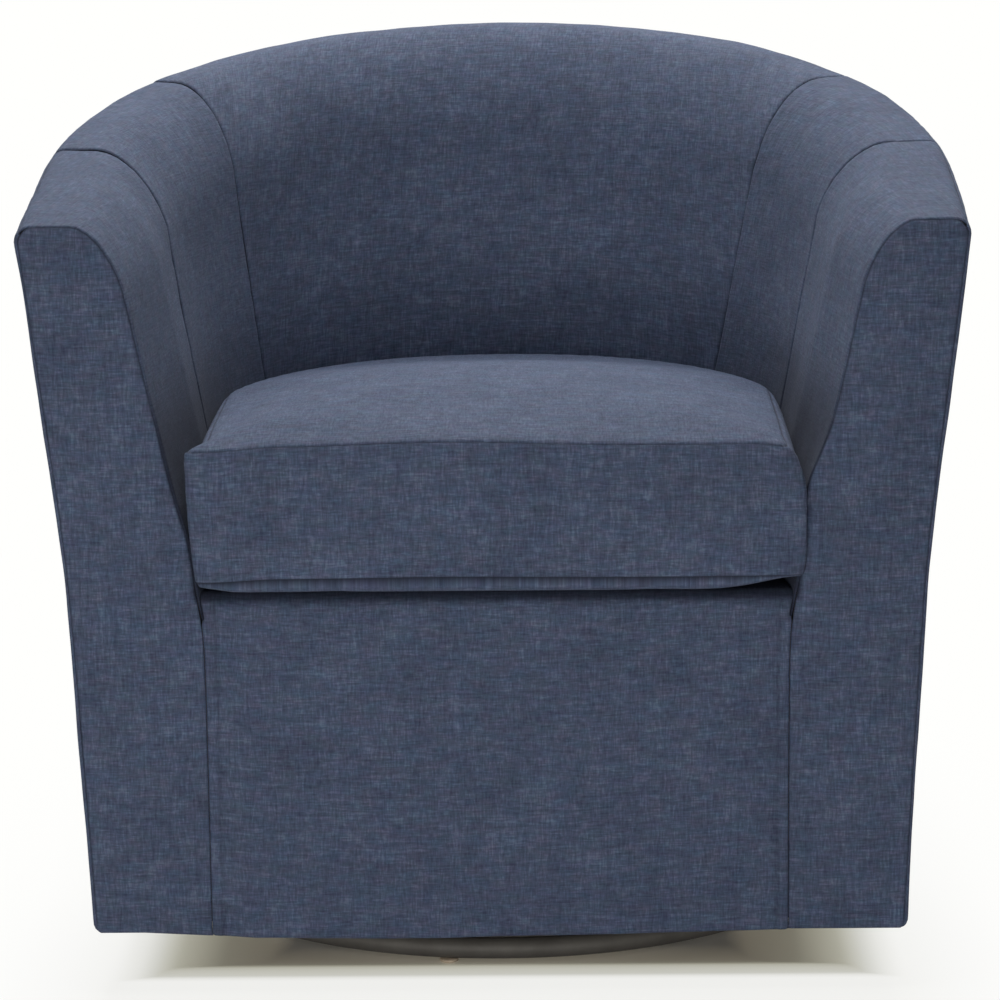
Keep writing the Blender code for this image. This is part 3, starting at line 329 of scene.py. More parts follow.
def soft_ramp(value, blend):
    """Zero below nought and the value above it, with the corner eased."""
    return (value + np.hypot(value, blend)) / 2


def ease(share):
    """A share that starts and stops gently."""
    held = np.clip(share, 0, 1)
    return held * held * (3 - 2 * held)


# The tub's surface

def horseshoe(around, z, half_width, back_y, power, toe_in):
    """Points of a plan that is straight from the arm front to the bend, then round to the back."""
    share = 1 - np.abs(around)
    turn = np.clip((share - BEND_SHARE) / (1 - BEND_SHARE), 0, 1) * QUARTER
    x = half_width * np.clip(np.cos(turn), 0, 1) ** (2 / power)
    y = np.where(share <= BEND_SHARE, mix(FRONT_Y, BEND_Y, share / BEND_SHARE),
                 mix(BEND_Y, back_y, np.sin(turn) ** (2 / power)))
    x = x * (1 - toe_in * (y - FRONT_Y) / (BACK_Y - FRONT_Y))
    return np.stack([np.copysign(x, around), y, z + 0 * x], -1)


def outer_flare(z):
    """How far the outside stands out past its foot at a height."""
    knee = soft_ramp(z - FLARE_KNEE_Z, FLARE_BLEND) - soft_ramp(BOTTOM_Z - FLARE_KNEE_Z, FLARE_BLEND)
    return LOWER_FLARE * (z - BOTTOM_Z) + (UPPER_FLARE - LOWER_FLARE) * knee


def outer_plan(around, z):
    """Points of the outside at a height."""
    flare = outer_flare(z)
    back_y = BACK_Y - BACK_FLARE_SHARE * (outer_flare(BACK_Z - CORNER_RADIUS) - flare)
    return horseshoe(around, z, BASE_HALF_WIDTH + flare, back_y, OUTER_POWER, OUTER_TOE_IN)


def arm_press(around, z):
    """How far the front of an inside arm is drawn in beside the cushion."""
    pairs = zip(ARM_PRESS[-1], ARM_PRESS[1])
    depth, height, run = (np.where(around > 0, right, left) for left, right in pairs)
    front = np.clip(1 - (1 - np.abs(around)) / MOUTH_SHARE, 0, 1)
    return depth * np.exp(-((z - height) / run) ** 2) * front ** 2


def inner_plan(around, z):
    """Points of the inside at a height."""
    mouth = MOUTH_FLARE * np.clip(1 - (1 - np.abs(around)) / MOUTH_SHARE, 0, None)
    half_width = INNER_HALF_WIDTH + INNER_LEAN * (z - SEAT_Z) + mouth - arm_press(around, z)
    back_y = INNER_BACK_Y + RECLINE * soft_ramp(z - RECLINE_Z, RECLINE_BLEND)
    return horseshoe(around, z, half_width, back_y, INNER_POWER, INNER_TOE_IN)


def rim_height(around):
    """The rim's height, which climbs steadily from the arm front to the back."""
    y = outer_plan(around, BACK_Z - CORNER_RADIUS)[..., 1]
    return mix(ARM_Z, BACK_Z, (y - FRONT_Y) / (BACK_Y - FRONT_Y))


def wall(around, reach):
    """Points of the wall. Reach -1 to 0 is the hem, to 1 outside, 2 corner, 3 rim, 4 roll and 5 inside."""
    around, reach = np.broadcast_arrays(np.asarray(around, float), np.asarray(reach, float))
    share = 1 - np.abs(around)
    rim = rim_height(around)
    roll_height = mix(ARM_ROLL_HEIGHT, BACK_ROLL_HEIGHT, share)
    roll_share = mix(ARM_ROLL_SHARE, BACK_ROLL_SHARE, share)
    thickness = np.linalg.norm(outer_plan(around, rim) - inner_plan(around, rim), axis=-1)
    corner = CORNER_RADIUS / thickness
    corner_turn = np.clip(reach - 1, 0, 1) * QUARTER
    roll_turn = np.clip(reach - 3, 0, 1) * QUARTER
    z = np.select(
        [reach <= 0, reach <= 1, reach <= 2, reach <= 3, reach <= 4],
        [BOTTOM_Z + HEM_RADIUS * (1 - np.cos(np.clip(1 + reach, 0, 1) * QUARTER)),
         mix(BOTTOM_Z + HEM_RADIUS, rim - CORNER_RADIUS, reach),
         rim - CORNER_RADIUS * (1 - np.sin(corner_turn)), rim, rim - roll_height * (1 - np.cos(roll_turn))],
        mix(rim - roll_height, TUCK_Z, reach - 4))
    across = np.select(
        [reach <= 1, reach <= 2, reach <= 3, reach <= 4],
        [0 * z, corner * (1 - np.cos(corner_turn)), mix(corner, 1 - roll_share, reach - 2),
         1 - roll_share * (1 - np.sin(roll_turn))], 1 + 0 * z)
    outside, inside = outer_plan(around, z), inner_plan(around, z)
    points = mix(outside, inside, across[..., None])
    hem = HEM_RADIUS * (1 - np.sin(np.clip(1 + reach, 0, 1) * QUARTER)) * (reach < 0)
    centre = np.array([0, SWIVEL_Y, 0])
    inward = (centre - outside) * [1, 1, 0]
    return points + inward / np.linalg.norm(inward, axis=-1, keepdims=True) * hem[..., None]


# Cloth over a grid or an outline

def waves(points, length, seed):
    """A smooth random ripple over points, about -1 to 1, with a typical wavelength."""
    random = np.random.default_rng(seed)
    total = np.zeros(points.shape[:-1])
    for _ in range(RIPPLE_WAVES):
        direction = random.normal(size=3)
        direction /= np.linalg.norm(direction)
        pace = 2 * math.pi / (length * random.uniform(*RIPPLE_SPREAD))
        total += np.sin(points @ direction * pace + random.uniform(0, 2 * math.pi))
    return total / (RIPPLE_WAVES / 2)


def spread(length):
    """Shares of a length, close together at both ends and coarse between."""
    places = [0.0]
    step = FINE
    while places[-1] + step < length / 2:
        places.append(places[-1] + step)
        step = min(step * GROWTH, COARSE)
    places = np.array(places) / length
    return np.concatenate([places, [0.5], 1 - places[::-1]])


def unit(vectors):
    """Vectors brought to length one."""
    return vectors / np.maximum(np.linalg.norm(vectors, axis=-1, keepdims=True), TINY)


def normals_of(grid):
    """Unit normals on the seen side of a grid whose rows go up and whose columns go right."""
    return unit(np.cross(np.gradient(grid, axis=1), np.gradient(grid, axis=0)))


def lengths(grid, axis):
    """Running length along one axis of a grid, from its first row or column."""
    steps = np.linalg.norm(np.diff(grid, axis=axis), axis=-1)
    zero = np.zeros_like(np.take(grid, [0], axis=axis)[..., 0])
    return np.concatenate([zero, np.cumsum(steps, axis=axis)], axis=axis)


def turned_edge(distance, radius, turn):
    """How far in from a rolled edge cloth lies, and how deep, at a distance along it."""
    length = radius * turn
    angle = np.clip((length - distance) / np.maximum(radius, TINY), 0, None)
    inside = np.where(distance < length, radius * (1 - np.sin(angle)), radius + distance - length)
    return inside, radius * (1 - np.cos(angle))


def sunk(distance):
    """How much of a seam's depth is left at a distance from it."""
    return np.exp(-(distance / SEAM_WIDTH) ** SEAM_POWER)


def painted_crease_shade(distance):
    """How much painted shade a seam's crease still has at a distance from it."""
    return np.exp(-(distance / PAINTED_CREASE_WIDTH) ** 2)


def seam_dip(distance, along, seed):
    """How far cloth dips into a seam, less the swell and the gathers beside it."""
    swell = np.exp(-((distance - SWELL_PLACE) / SWELL_WIDTH) ** 2)
    drift = np.sin(along / SLOW_DRIFT + seed) + QUICK_SHARE * np.sin(along / QUICK_DRIFT + 2 * seed)
    gathers = np.sin(along / PUCKER_PACE + DRIFT_TURN * drift) * (1 + DRIFT_SWELL * drift)
    fade = np.exp(-distance / PUCKER_REACH) * ease(distance / SEAM_WIDTH)
    return SEAM_DEPTH * sunk(distance) - SEAM_SWELL * swell - PUCKER_HEIGHT * gathers * fade


def add_object(name, data):
    """An object in the scene that shows some data."""
    made = bpy.data.objects.new(name, data)
    scene.collection.objects.link(made)
    return made


def add_mesh(name, points, faces, slot="navy_cloth"):
    """A smooth object from points and faces, with the finish of a material slot."""
    mesh = bpy.data.meshes.new(name)
    mesh.from_pydata(np.asarray(points).tolist(), [], faces)
    mesh.shade_smooth()
    mesh.materials.append(FINISHES[slot])
    return add_object(name, mesh)


def set_layer(made, name, values, domain="POINT"):
    """Store a value or a vector for each point or corner of a mesh."""
    kind, key = ("FLOAT_VECTOR", "vector") if values.ndim == 2 else ("FLOAT", "value")
    layer = made.data.attributes.new(name, kind, domain)
    layer.data.foreach_set(key, np.ascontiguousarray(values, dtype=np.float32).ravel())


def closed_cloth(name, seen, faces, border, weave, painted_shade, normals):
    """A thin closed cloth under a seen face: its border runs with the face's own turn."""
    count = len(seen)
    points = np.concatenate([seen, seen - normals * COVER])
    after = np.roll(border, -1)
    edge = np.stack([after, border, border + count, after + count], -1)
    back = [face[::-1] for face in (np.asarray(faces) + count).tolist()]
    made = add_mesh(name, points, np.asarray(faces).tolist() + back + edge.tolist())
    set_layer(made, "weave", np.tile(weave, (2, 1)))
    set_layer(made, "painted_shade", np.tile(painted_shade, 2))
    return made


def quads_of(index, following):
    """Quads between rows of numbered points, each from its column to the following one."""
    return np.stack([index[:-1], following[:-1], following[1:], index[1:]], -1).reshape(-1, 4)


def grid_cloth(name, grid, weave, painted_shade):
    """A closed cloth over a grid of points."""
    rows, columns = grid.shape[:2]
    index = np.arange(rows * columns).reshape(rows, columns)
    border = np.concatenate([index[0, :-1], index[:-1, -1], index[-1, :0:-1], index[:0:-1, 0]])
    return closed_cloth(name, grid.reshape(-1, 3), quads_of(index[:, :-1], index[:, 1:]), border,
                        weave.reshape(-1, 3), painted_shade.ravel(), normals_of(grid).reshape(-1, 3))


def dress(grid, sewn, seed, tucked=False):
    """Dip a grid's edges (left, right, low, high) as they are sewn, ripple it, and paint shade in its seams'
    creases and on its tucked rows.
    """
    over, up = lengths(grid, 1), lengths(grid, 0)
    sides = (over, over[:, -1:] - over, up, up[-1:] - up)
    lift = RIPPLE * (waves(grid, LONG_RIPPLE, seed) + SHORT_SHARE * waves(grid, SHORT_RIPPLE, seed + 1))
    dip = np.full(grid.shape[:2], -1.0)
    painted_shade = np.zeros(grid.shape[:2])
    for strength, distance, along in zip(sewn, sides, (up, up, over, over)):
        if strength:
            dip = np.maximum(dip, strength * seam_dip(distance, along, seed))
            painted_shade = np.maximum(painted_shade, strength * painted_crease_shade(distance))
    lift = lift - np.where(dip > -1, dip, 0)
    # Painted shade on the inside cloth beside and behind the cushion, fading above its top and toward the
    # back
    above = ease((grid[..., 2] - CUSHION_TOP_Z) / TUCK_SHADE_RUN)
    shade = TUCK_SHADE * (1 - above) * (1 - ease((grid[..., 1] - BEND_Y) / (TUCK_SHADE_Y - BEND_Y)))
    painted_shade = np.maximum(painted_shade, shade * tucked)
    weave = np.stack([(sides[0] - sides[1]) / 2, up, np.full_like(up, seed * LAYER_PACE)], -1)
    return grid + normals_of(grid) * lift[..., None], weave, painted_shade


def wall_cover(name, near, far, reaches, sewn, seed, fronted=None):
    """A cover of the wall from one line to another, left to right as seen, up through a range of reaches.

    A line gives the place round at a reach. Fronted holds the radius and turn of an edge at an arm front.
    """
    places = np.linspace(*reaches, REACH_STEPS)
    run = lengths(wall(mix(near(places), far(places), 0.5), places)[:, None, :], 0)[:, 0]
    reach = np.interp(spread(run[-1]) * run[-1], run, places)[:, None]
    middle = mix(*reaches, 0.5)
    width = lengths(wall(np.linspace(near(middle), far(middle), WIDTH_STEPS), middle)[None], 1)[0, -1]
    shares = spread(width)
    near_line, far_line = near(reach), far(reach)
    if fronted:
        order = 1 if abs(near(middle)) == 1 else -1
        front_line, rear_line = (near_line, far_line)[::order]
        distance = shares * width
        inside, depth = turned_edge(distance, *fronted)
        split = np.searchsorted(distance, FRONT_RUN)
        behind = front_line + np.sign(rear_line - front_line) * inside / (BEND_Y - FRONT_Y) * BEND_SHARE
        rest = np.clip((shares - shares[split]) / (1 - shares[split]), 0, 1)
        beyond = mix(behind[:, split:split + 1], rear_line, rest)
        around = np.where(np.arange(len(shares)) < split, behind, beyond)
        grid = wall(around[:, ::order], reach)
        grid = grid - normals_of(grid) * depth[::order, None]
    else:
        grid = wall(mix(near_line, far_line, shares), reach)
    return grid_cloth(name, *dress(grid, sewn, seed, reach > 4))


def fixed(place):
    """A line at one place round the wall."""
    return lambda reach: place + 0 * reach


def seam_line(table, side):
    """A seam's line as a place round the wall."""
    low, roll, rim = table[side]
    return lambda reach: side * (1 - np.interp(reach, SEAM_REACHES, (rim, rim, roll, low)))


# Flat panels with a free outline

def nearest_edge(points, outline):
    """Each point's distance to a closed outline, the nearest place on it and its running index."""
    best = np.full(len(points), np.inf)
    place = np.zeros_like(points)
    index = np.zeros(len(points))
    for number, (start, run) in enumerate(zip(outline, np.roll(outline, -1, axis=0) - outline)):
        share = np.clip((points - start) @ run / max(run @ run, TINY), 0, 1)
        near = start + share[:, None] * run
        distance = np.linalg.norm(points - near, axis=1)
        closer = distance < best
        best[closer] = distance[closer]
        place[closer] = near[closer]
        index[closer] = number + share[closer]
    return best, place, index


def inside_outline(points, outline):
    """Which points lie inside a closed outline."""
    inside = np.zeros(len(points), bool)
    for (x1, y1), (x2, y2) in zip(outline, np.roll(outline, -1, axis=0)):
        crosses = (y1 > points[:, 1]) != (y2 > points[:, 1])
        slope = (x2 - x1) / (y2 - y1) if y2 != y1 else 0.0
        inside ^= crosses & (points[:, 0] < x1 + (points[:, 1] - y1) * slope)
    return inside


def edge_inward(outline):
    """Unit directions into a closed outline that runs counterclockwise."""
    edge = unit(np.roll(outline, -1, axis=0) - np.roll(outline, 1, axis=0))
    return np.stack([-edge[:, 1], edge[:, 0]], -1)


def fill_outline(outline):
    """Points and triangles that fill a closed outline: rings by the edge, then an even grid."""
    sets = [outline]
    for ring in RING_DISTANCES:
        moved = outline + edge_inward(outline) * ring
        sets.append(moved[nearest_edge(moved, outline)[0] > ring * RING_SLACK])
    low, high = outline.min(0), outline.max(0)
    grid = []
    for number, row in enumerate(np.arange(low[1], high[1], PANEL_PITCH * math.sqrt(0.75))):
        across = np.arange(low[0] + (number % 2) * PANEL_PITCH / 2, high[0], PANEL_PITCH)
        grid.append(np.stack([across, np.full_like(across, row)], -1))
    grid = np.concatenate(grid)
    clear = nearest_edge(grid, sets[-1])[0] > PANEL_PITCH * GRID_SLACK
    clear &= nearest_edge(grid, outline)[0] > RING_DISTANCES[-1]
    sets.append(grid[inside_outline(grid, outline) & clear])
    flat = [Vector(point) for point in np.concatenate(sets).tolist()]
    count = len(outline)
    edges = [(number, (number + 1) % count) for number in range(count)]
    filled = delaunay_2d_cdt(flat, edges, [], 1, 1e-7)
    return np.array([tuple(point) for point in filled[0]]), [tuple(face) for face in filled[2]]


def resample(path, spacing=None, count=None):
    """A path's rows taken again at an even spacing or in a count of steps."""
    run = lengths(path[:, None, :2], 0)[:, 0]
    count = count or max(int(round(run[-1] / spacing)), 1)
    places = np.linspace(0, run[-1], count + 1)
    return np.stack([np.interp(places, run, column) for column in path.T], -1)


# Materials

class Nodes:
    """A short way to write the node tree of a material or a world."""

    def __init__(self, owner):
        owner.use_nodes = True
        self.owner = owner
        self.tree = owner.node_tree
        self.surface = self.tree.nodes.get("Principled BSDF")

    def link(self, value, socket):
        """Link an output to a socket, or set the socket's value."""
        if isinstance(value, bpy.types.NodeSocket):
            self.tree.links.new(value, socket)
        else:
            socket.default_value = value

    def fill(self, node, **inputs):
        """Link or set a node's inputs, whose names have _ for a space."""
        for key, value in inputs.items():
            self.link(value, node.inputs[key.replace("_", " ")])

    def add(self, kind, **inputs):
        """Add a node of a kind and fill its inputs."""
        made = self.tree.nodes.new("ShaderNode" + kind)
        self.fill(made, **inputs)
        return made

    def math(self, operation, *values):
        """A Math node's result."""
        made = self.add("Math")
        made.operation = operation
        for value, socket in zip(values, made.inputs):
            self.link(value, socket)
        return made.outputs[0]

    def noise(self, vector, scale, detail, roughness, stretch):
        """Noise along a stretched vector."""
        place = self.add("Mapping", Vector=vector, Scale=stretch).outputs[0]
        made = self.add("TexNoise", Vector=place, Scale=scale, Detail=detail, Roughness=roughness)
        return made.outputs["Fac"]

    def ramp(self, factor, stops):
        """A colour ramp from (position, colour) stops."""
        made = self.add("ValToRGB", Fac=factor)
        elements = made.color_ramp.elements
        while len(elements) < len(stops):
            elements.new(0.5)
        for element, (position, colour) in zip(elements, stops):
            element.position = position
            element.color = (*colour, 1)
        return made.outputs["Color"]

    def blend(self, factor, first, second, mode="MIX"):
        """Two colours mixed by a factor."""
        made = self.add("Mix", Factor=factor)
        made.data_type = "RGBA"
        made.blend_type = mode
        sockets = {socket.identifier: socket for socket in (*made.inputs, *made.outputs)}
        self.link(first, sockets["A_Color"])
        self.link(second, sockets["B_Color"])
        return sockets["Result_Color"]

    def bump(self, height, distance, strength):
        """Bump the surface by a height."""
        made = self.add("Bump", Height=height, Distance=distance, Strength=strength)
        self.fill(self.surface, Normal=made.outputs[0])


def navy_cloth():
    """Heathered linen-look plain weave: slubbed yarns of several blues both ways."""
    cloth = Nodes(bpy.data.materials.new("navy_cloth"))
    layers = {}
    for name, output in (("weave", "Vector"), ("painted_shade", "Fac")):
        layer = cloth.add("Attribute")
        layer.attribute_name = name
        layers[name] = layer.outputs[output]
    weave = layers["weave"]
    yarn = 0.0
    for stretch, detail, roughness, share in TONES:
        yarn = cloth.math("MULTIPLY_ADD", cloth.noise(weave, 1.0, detail, roughness, stretch), share, yarn)
    tone = cloth.math("DIVIDE", yarn, sum(row[-1] for row in TONES))
    colour = cloth.ramp(tone, TONE_COLOURS)
    for stretch, low, high in HUES:
        drift = cloth.noise(weave, 1.0, 4.0, 0.7, stretch)
        tint = cloth.ramp(drift, ((HUE_LOW, low), (HUE_HIGH, high)))
        colour = cloth.blend(1.0, colour, tint, "MULTIPLY")
    # Painted shade: the colour darkens toward near black in seam creases, under the cushion's lip and behind
    # the cushion
    colour = cloth.blend(cloth.math("MULTIPLY", layers["painted_shade"], PAINTED_SHADE_STRENGTH), colour, PAINTED_SHADE_COLOUR)
    cloth.fill(cloth.surface, Base_Color=colour, Roughness=0.88, Specular_IOR_Level=0.18, Sheen_Weight=0.03,
               Sheen_Roughness=0.55, Sheen_Tint=(0.80, 0.86, 1.0, 1))
    place = cloth.add("SeparateXYZ", Vector=weave).outputs
    turns = (cloth.math("MULTIPLY", place[axis], math.tau / YARN_PITCH) for axis in "XY")
    over = cloth.math("MULTIPLY", *(cloth.math("SINE", turn) for turn in turns))
    relief = cloth.math("MULTIPLY_ADD", over, THREAD_WEIGHT, cloth.math("MULTIPLY", yarn, YARN_WEIGHT))
    cloth.bump(relief, WEAVE_DEPTH, WEAVE_STRENGTH)
    return cloth.owner


def plain(name, dark, light, roughness, scale, bump, metallic=0.0, stretch=(1, 1, 1)):
    """A finish of two tones in soft noise, for metal, wood, foam and felt."""
    finish = Nodes(bpy.data.materials.new(name))
    place = finish.add("TexCoord").outputs["Object"]
    grain = finish.noise(place, scale, 4.0, 0.6, stretch)
    fine = finish.noise(place, scale * FINE_SCALE, 2.0, 0.5, stretch)
    uneven = finish.math("MULTIPLY_ADD", fine, UNEVEN, roughness - UNEVEN / 2)
    colour = finish.ramp(grain, ((GRAIN_LOW, dark), (GRAIN_HIGH, light)))
    finish.fill(finish.surface, Base_Color=colour, Roughness=uneven, Metallic=metallic)
    finish.bump(fine, bump, 0.5)
    return finish.owner


def finish_nodes():
    """Give each node of the frame its procedural finish."""
    slots = {part["node"]: part["material_slot"] for part in frame["record"]["subparts"]}
    for name, made in frame["nodes"].items():
        made.data.materials.clear()
        made.data.materials.append(FINISHES[slots[name]])


def keep(piece, *nodes, body="seat", slot="navy_cloth"):
    """Ride a piece on a body and hide the nodes that it stands for. Its slot is not used."""
    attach(piece, body)
    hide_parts(*nodes)


# Covers of the wall

def make_inside_covers():
    """The inside back, the wings and the arm panels, from the rim seam down behind the cushion."""
    reaches, sewn = (5, RIM_SEAM_REACH), (1, 1, 0, 1)
    piece = wall_cover("inside_back", seam_line(WING_SEAM, -1), seam_line(WING_SEAM, 1), reaches, sewn, 3)
    keep(piece, "inside_back_cover", "inside_back_foam")
    for side, word in SIDES:
        lines = (seam_line(ARM_SEAM, side), seam_line(WING_SEAM, side))[::-side]
        keep(wall_cover(f"wing_{word}", *lines, reaches, sewn, 11 + side), f"wing_cover_{word}")
        lines = (fixed(side), seam_line(ARM_SEAM, side))[::-side]
        piece = wall_cover(f"inside_arm_{word}", *lines, reaches, sewn, 21 + side, (EDGE_RADIUS, EDGE_TURN))
        keep(piece, f"inside_arm_cover_{word}", f"arm_foam_{word}")


def make_outside_covers():
    """The outside back and the outside arms, which turn the corner to the arm front's seam."""
    rear = 1 - REAR_SEAM
    reaches = (-1, RIM_SEAM_REACH)
    piece = wall_cover("outside_back", fixed(rear), fixed(-rear), reaches, (1, 1, 0, 1), 31)
    keep(piece, "outside_back_cover")
    for side, word in SIDES:
        lines = (fixed(side), fixed(side * rear))[::side]
        sewn = (*(CORNER_SEAM, 1)[::side], 0, 1)
        piece = wall_cover(f"outside_arm_{word}", *lines, reaches, sewn, 41 + side, (WRAP_RADIUS, QUARTER))
        keep(piece, f"outside_arm_cover_{word}")


def inner_edge_x(side, z):
    """The arm front's inner edge: the border seam below, the inside arm above."""
    skin = np.abs(inner_plan(side, z)[..., 0])
    return BORDER_HALF_WIDTH + soft_ramp(skin - BORDER_HALF_WIDTH, BORDER_BLEND)


def shield_outline(side):
    """An arm front's edge from the hem round: out from the middle, up, inset, radius and seam strength."""
    hem = (0.0, 0.0, 0.0)
    wrap = (WRAP_RADIUS, 0.0, CORNER_SEAM)
    corner = (0.0, EDGE_RADIUS, 1.0)
    seam = (GAP / 2, 0.0, BORDER_SEAM)

    def along_wall(low, high, count):
        return np.abs(wall(side, np.linspace(low, high, count))[:, [0, 2]])

    def along_edge(high, low, count):
        levels = np.linspace(high, low, count)
        return np.stack([inner_edge_x(side, levels), levels], -1)

    turn = along_wall(-1, 0, 12)
    bottom = np.stack([np.linspace(BORDER_HALF_WIDTH, turn[0, 0], 20), np.full(20, BOTTOM_Z)], -1)
    border = along_edge(UNDER_Z, BOTTOM_Z, 60)
    runs = ((bottom, hem, hem), (turn, hem, wrap), (along_wall(0, 1, 200), wrap, wrap),
            (along_wall(1, 1.5, 10), wrap, wrap), (along_wall(1.5, 2, 10), wrap, corner),
            (along_wall(2, 3, 30), corner, corner), (along_wall(3, 4, 60), corner, corner),
            (along_edge(wall(side, 4.0)[2], UNDER_Z, 80), corner, corner), (border[:8], corner, seam),
            (border[7:], seam, seam))
    path = []
    for points, start, end in runs:
        shares = np.linspace(0, 1, len(points))[:, None]
        path.append(np.concatenate([points, mix(np.array(start), np.array(end), shares)], 1)[:-1])
    path = np.concatenate(path + [path[0][:1]])
    closed = resample(path, EDGE_SPACING)[:-1]
    closed[:, :2] += edge_inward(closed[:, :2]) * closed[:, 2:3]
    return closed


def make_arm_front(side, word):
    """A shield-shaped panel, sewn all round but for the hem, and gently padded."""
    closed = shield_outline(side)
    outline = closed[:, :2]
    flat, faces = fill_outline(outline)
    distance, place, index = nearest_edge(flat, outline)
    table = np.concatenate([closed[:, 3:], edge_inward(outline)], 1)
    table = np.concatenate([table, table[:1]])
    radius, sewn, across, up = (np.interp(index, np.arange(len(table)), column) for column in table.T)
    inside, depth = turned_edge(distance, radius, EDGE_TURN)
    fade = 1 - ease(distance / EDGE_FADE)
    inward = np.where(distance[:, None] < FINE, np.stack([across, up], -1), unit(flat - place))
    moved = flat + inward * ((inside - distance) * fade)[:, None]
    x, z = side * moved[:, 0], moved[:, 1]
    upright = np.stack([side * flat[:, 0], np.zeros(len(flat)), flat[:, 1]], -1)
    ripple = FRONT_RIPPLE * waves(upright, FRONT_RIPPLE_LENGTH, 51 + side) * ease(distance / FRONT_RIPPLE_RUN)
    dip = sewn * seam_dip(distance, index * EDGE_SPACING, 51 + side)
    dome = ARM_FRONT_DOME * ease(distance / ARM_FRONT_DOME_RUN)
    seen = np.stack([x, FRONT_Y + depth + hem_turn(z) + dip - dome - ripple, z - hem_sag(x, z)], -1)
    weave = np.stack([side * flat[:, 0], flat[:, 1], np.full(len(flat), ARM_FRONT_LAYER + side)], -1)
    # Painted shade on the inner edge under the cushion's lip, together with the painted shade in the seam
    # creases
    below = ease((flat[:, 1] - LIP_SHADE_Z) / LIP_SHADE_RUN) * (1 - ease((flat[:, 1] - UNDER_Z) / EDGE_FADE))
    shade = below * np.clip(across, 0, 1) * np.exp(-(distance / EDGE_RADIUS) ** 2)
    painted_shade = np.maximum(painted_crease_shade(distance) * sewn, shade)
    normals = np.tile([0.0, -1.0, 0.0], (len(seen), 1))
    turned = [face[::side] for face in faces]
    border = np.arange(len(outline))[::side]
    piece = closed_cloth(f"arm_front_{word}", seen, turned, border, weave, painted_shade, normals)
    keep(piece, f"arm_front_cover_{word}", f"arm_front_pad_{word}")


def hem_turn(z):
    """How far the front turns in toward its hem."""
    left = np.clip(1 - (z - BOTTOM_Z) / HEM_EDGE, 0, 1)
    return HEM_EDGE * (1 - np.sqrt(1 - left ** 2))


def hem_sag(x, z):
    """How far the hem of the front hangs below a straight line."""
    return np.interp(x, *np.transpose(HEM_SAG)) * (1 - ease((z - BOTTOM_Z) / SAG_RUN))


def border_edge(side, z):
    """How far out the border reaches: to the arm front's seam, and above the tuck inside the inside arm."""
    seam = inner_edge_x(side, z)
    skin = np.minimum(seam, np.abs(inner_plan(side, z)[..., 0]) - TUCK_GAP)
    clear = GAP / 2 * ease((z - BOTTOM_Z) / HEM_EDGE - 1)
    return mix(seam, skin, ease((z - TUCK_Z) / TUCK_RUN + 0.5)) - clear


def make_front_border():
    """The border below the cushion, from its sagging hem to its flange, with a ridge by its seams."""
    turns = np.linspace(0, QUARTER, 12)
    hem_z = BOTTOM_Z + HEM_EDGE * (1 - np.cos(turns))
    hem = np.stack([FRONT_Y + hem_turn(hem_z), hem_z], -1)
    top_z = UNDER_Z - GAP
    top = np.stack([FRONT_Y + BORDER_TOP_RADIUS * (1 - np.cos(turns)),
                    top_z - BORDER_TOP_RADIUS * (1 - np.sin(turns))], -1)
    first, last = [FRONT_Y + HEM_TURNING, BOTTOM_Z], [FRONT_Y + BORDER_FLANGE, top_z]
    y, z = resample(np.concatenate([[first], hem, top, [last]]), BORDER_SPACING).T[:, :, None]
    behind = (y - FRONT_Y - BORDER_TOP_RADIUS / 2) / (BORDER_FLANGE - BORDER_TOP_RADIUS / 2)
    reach = 1 - BORDER_TAPER * np.clip(behind, 0, 1) * (z > SEAT_Z / 2)
    shares = spread(2 * BORDER_HALF_WIDTH) * 2 - 1
    x = np.where(shares < 0, border_edge(-1, z), border_edge(1, z)) * reach * shares
    grid = np.stack([x, y + 0 * x, z - hem_sag(x, z)], -1)
    from_seam = BORDER_HALF_WIDTH * (1 - np.abs(shares))
    ridge = RIDGE_HEIGHT * (1 - ease((from_seam - RIDGE_PLACE) / RIDGE_RUN + 0.5))
    grid = grid + normals_of(grid) * ridge[:, None]
    grid, weave, painted_shade = dress(grid, (BORDER_SEAM, BORDER_SEAM, 0, 0), 61)
    # Painted shadow line beside the seam's ridge
    line = RIDGE_SHADE * painted_crease_shade(from_seam - RIDGE_PLACE)
    # Painted shade on the border's top, under the cushion's lip
    under_lip = LIP_SHADE * ease((z - LIP_SHADE_Z) / LIP_SHADE_RUN)
    painted_shade = np.maximum(np.maximum(painted_shade, line), under_lip)
    keep(grid_cloth("front_border", grid, weave, painted_shade), "front_border_cover")


# Cushion

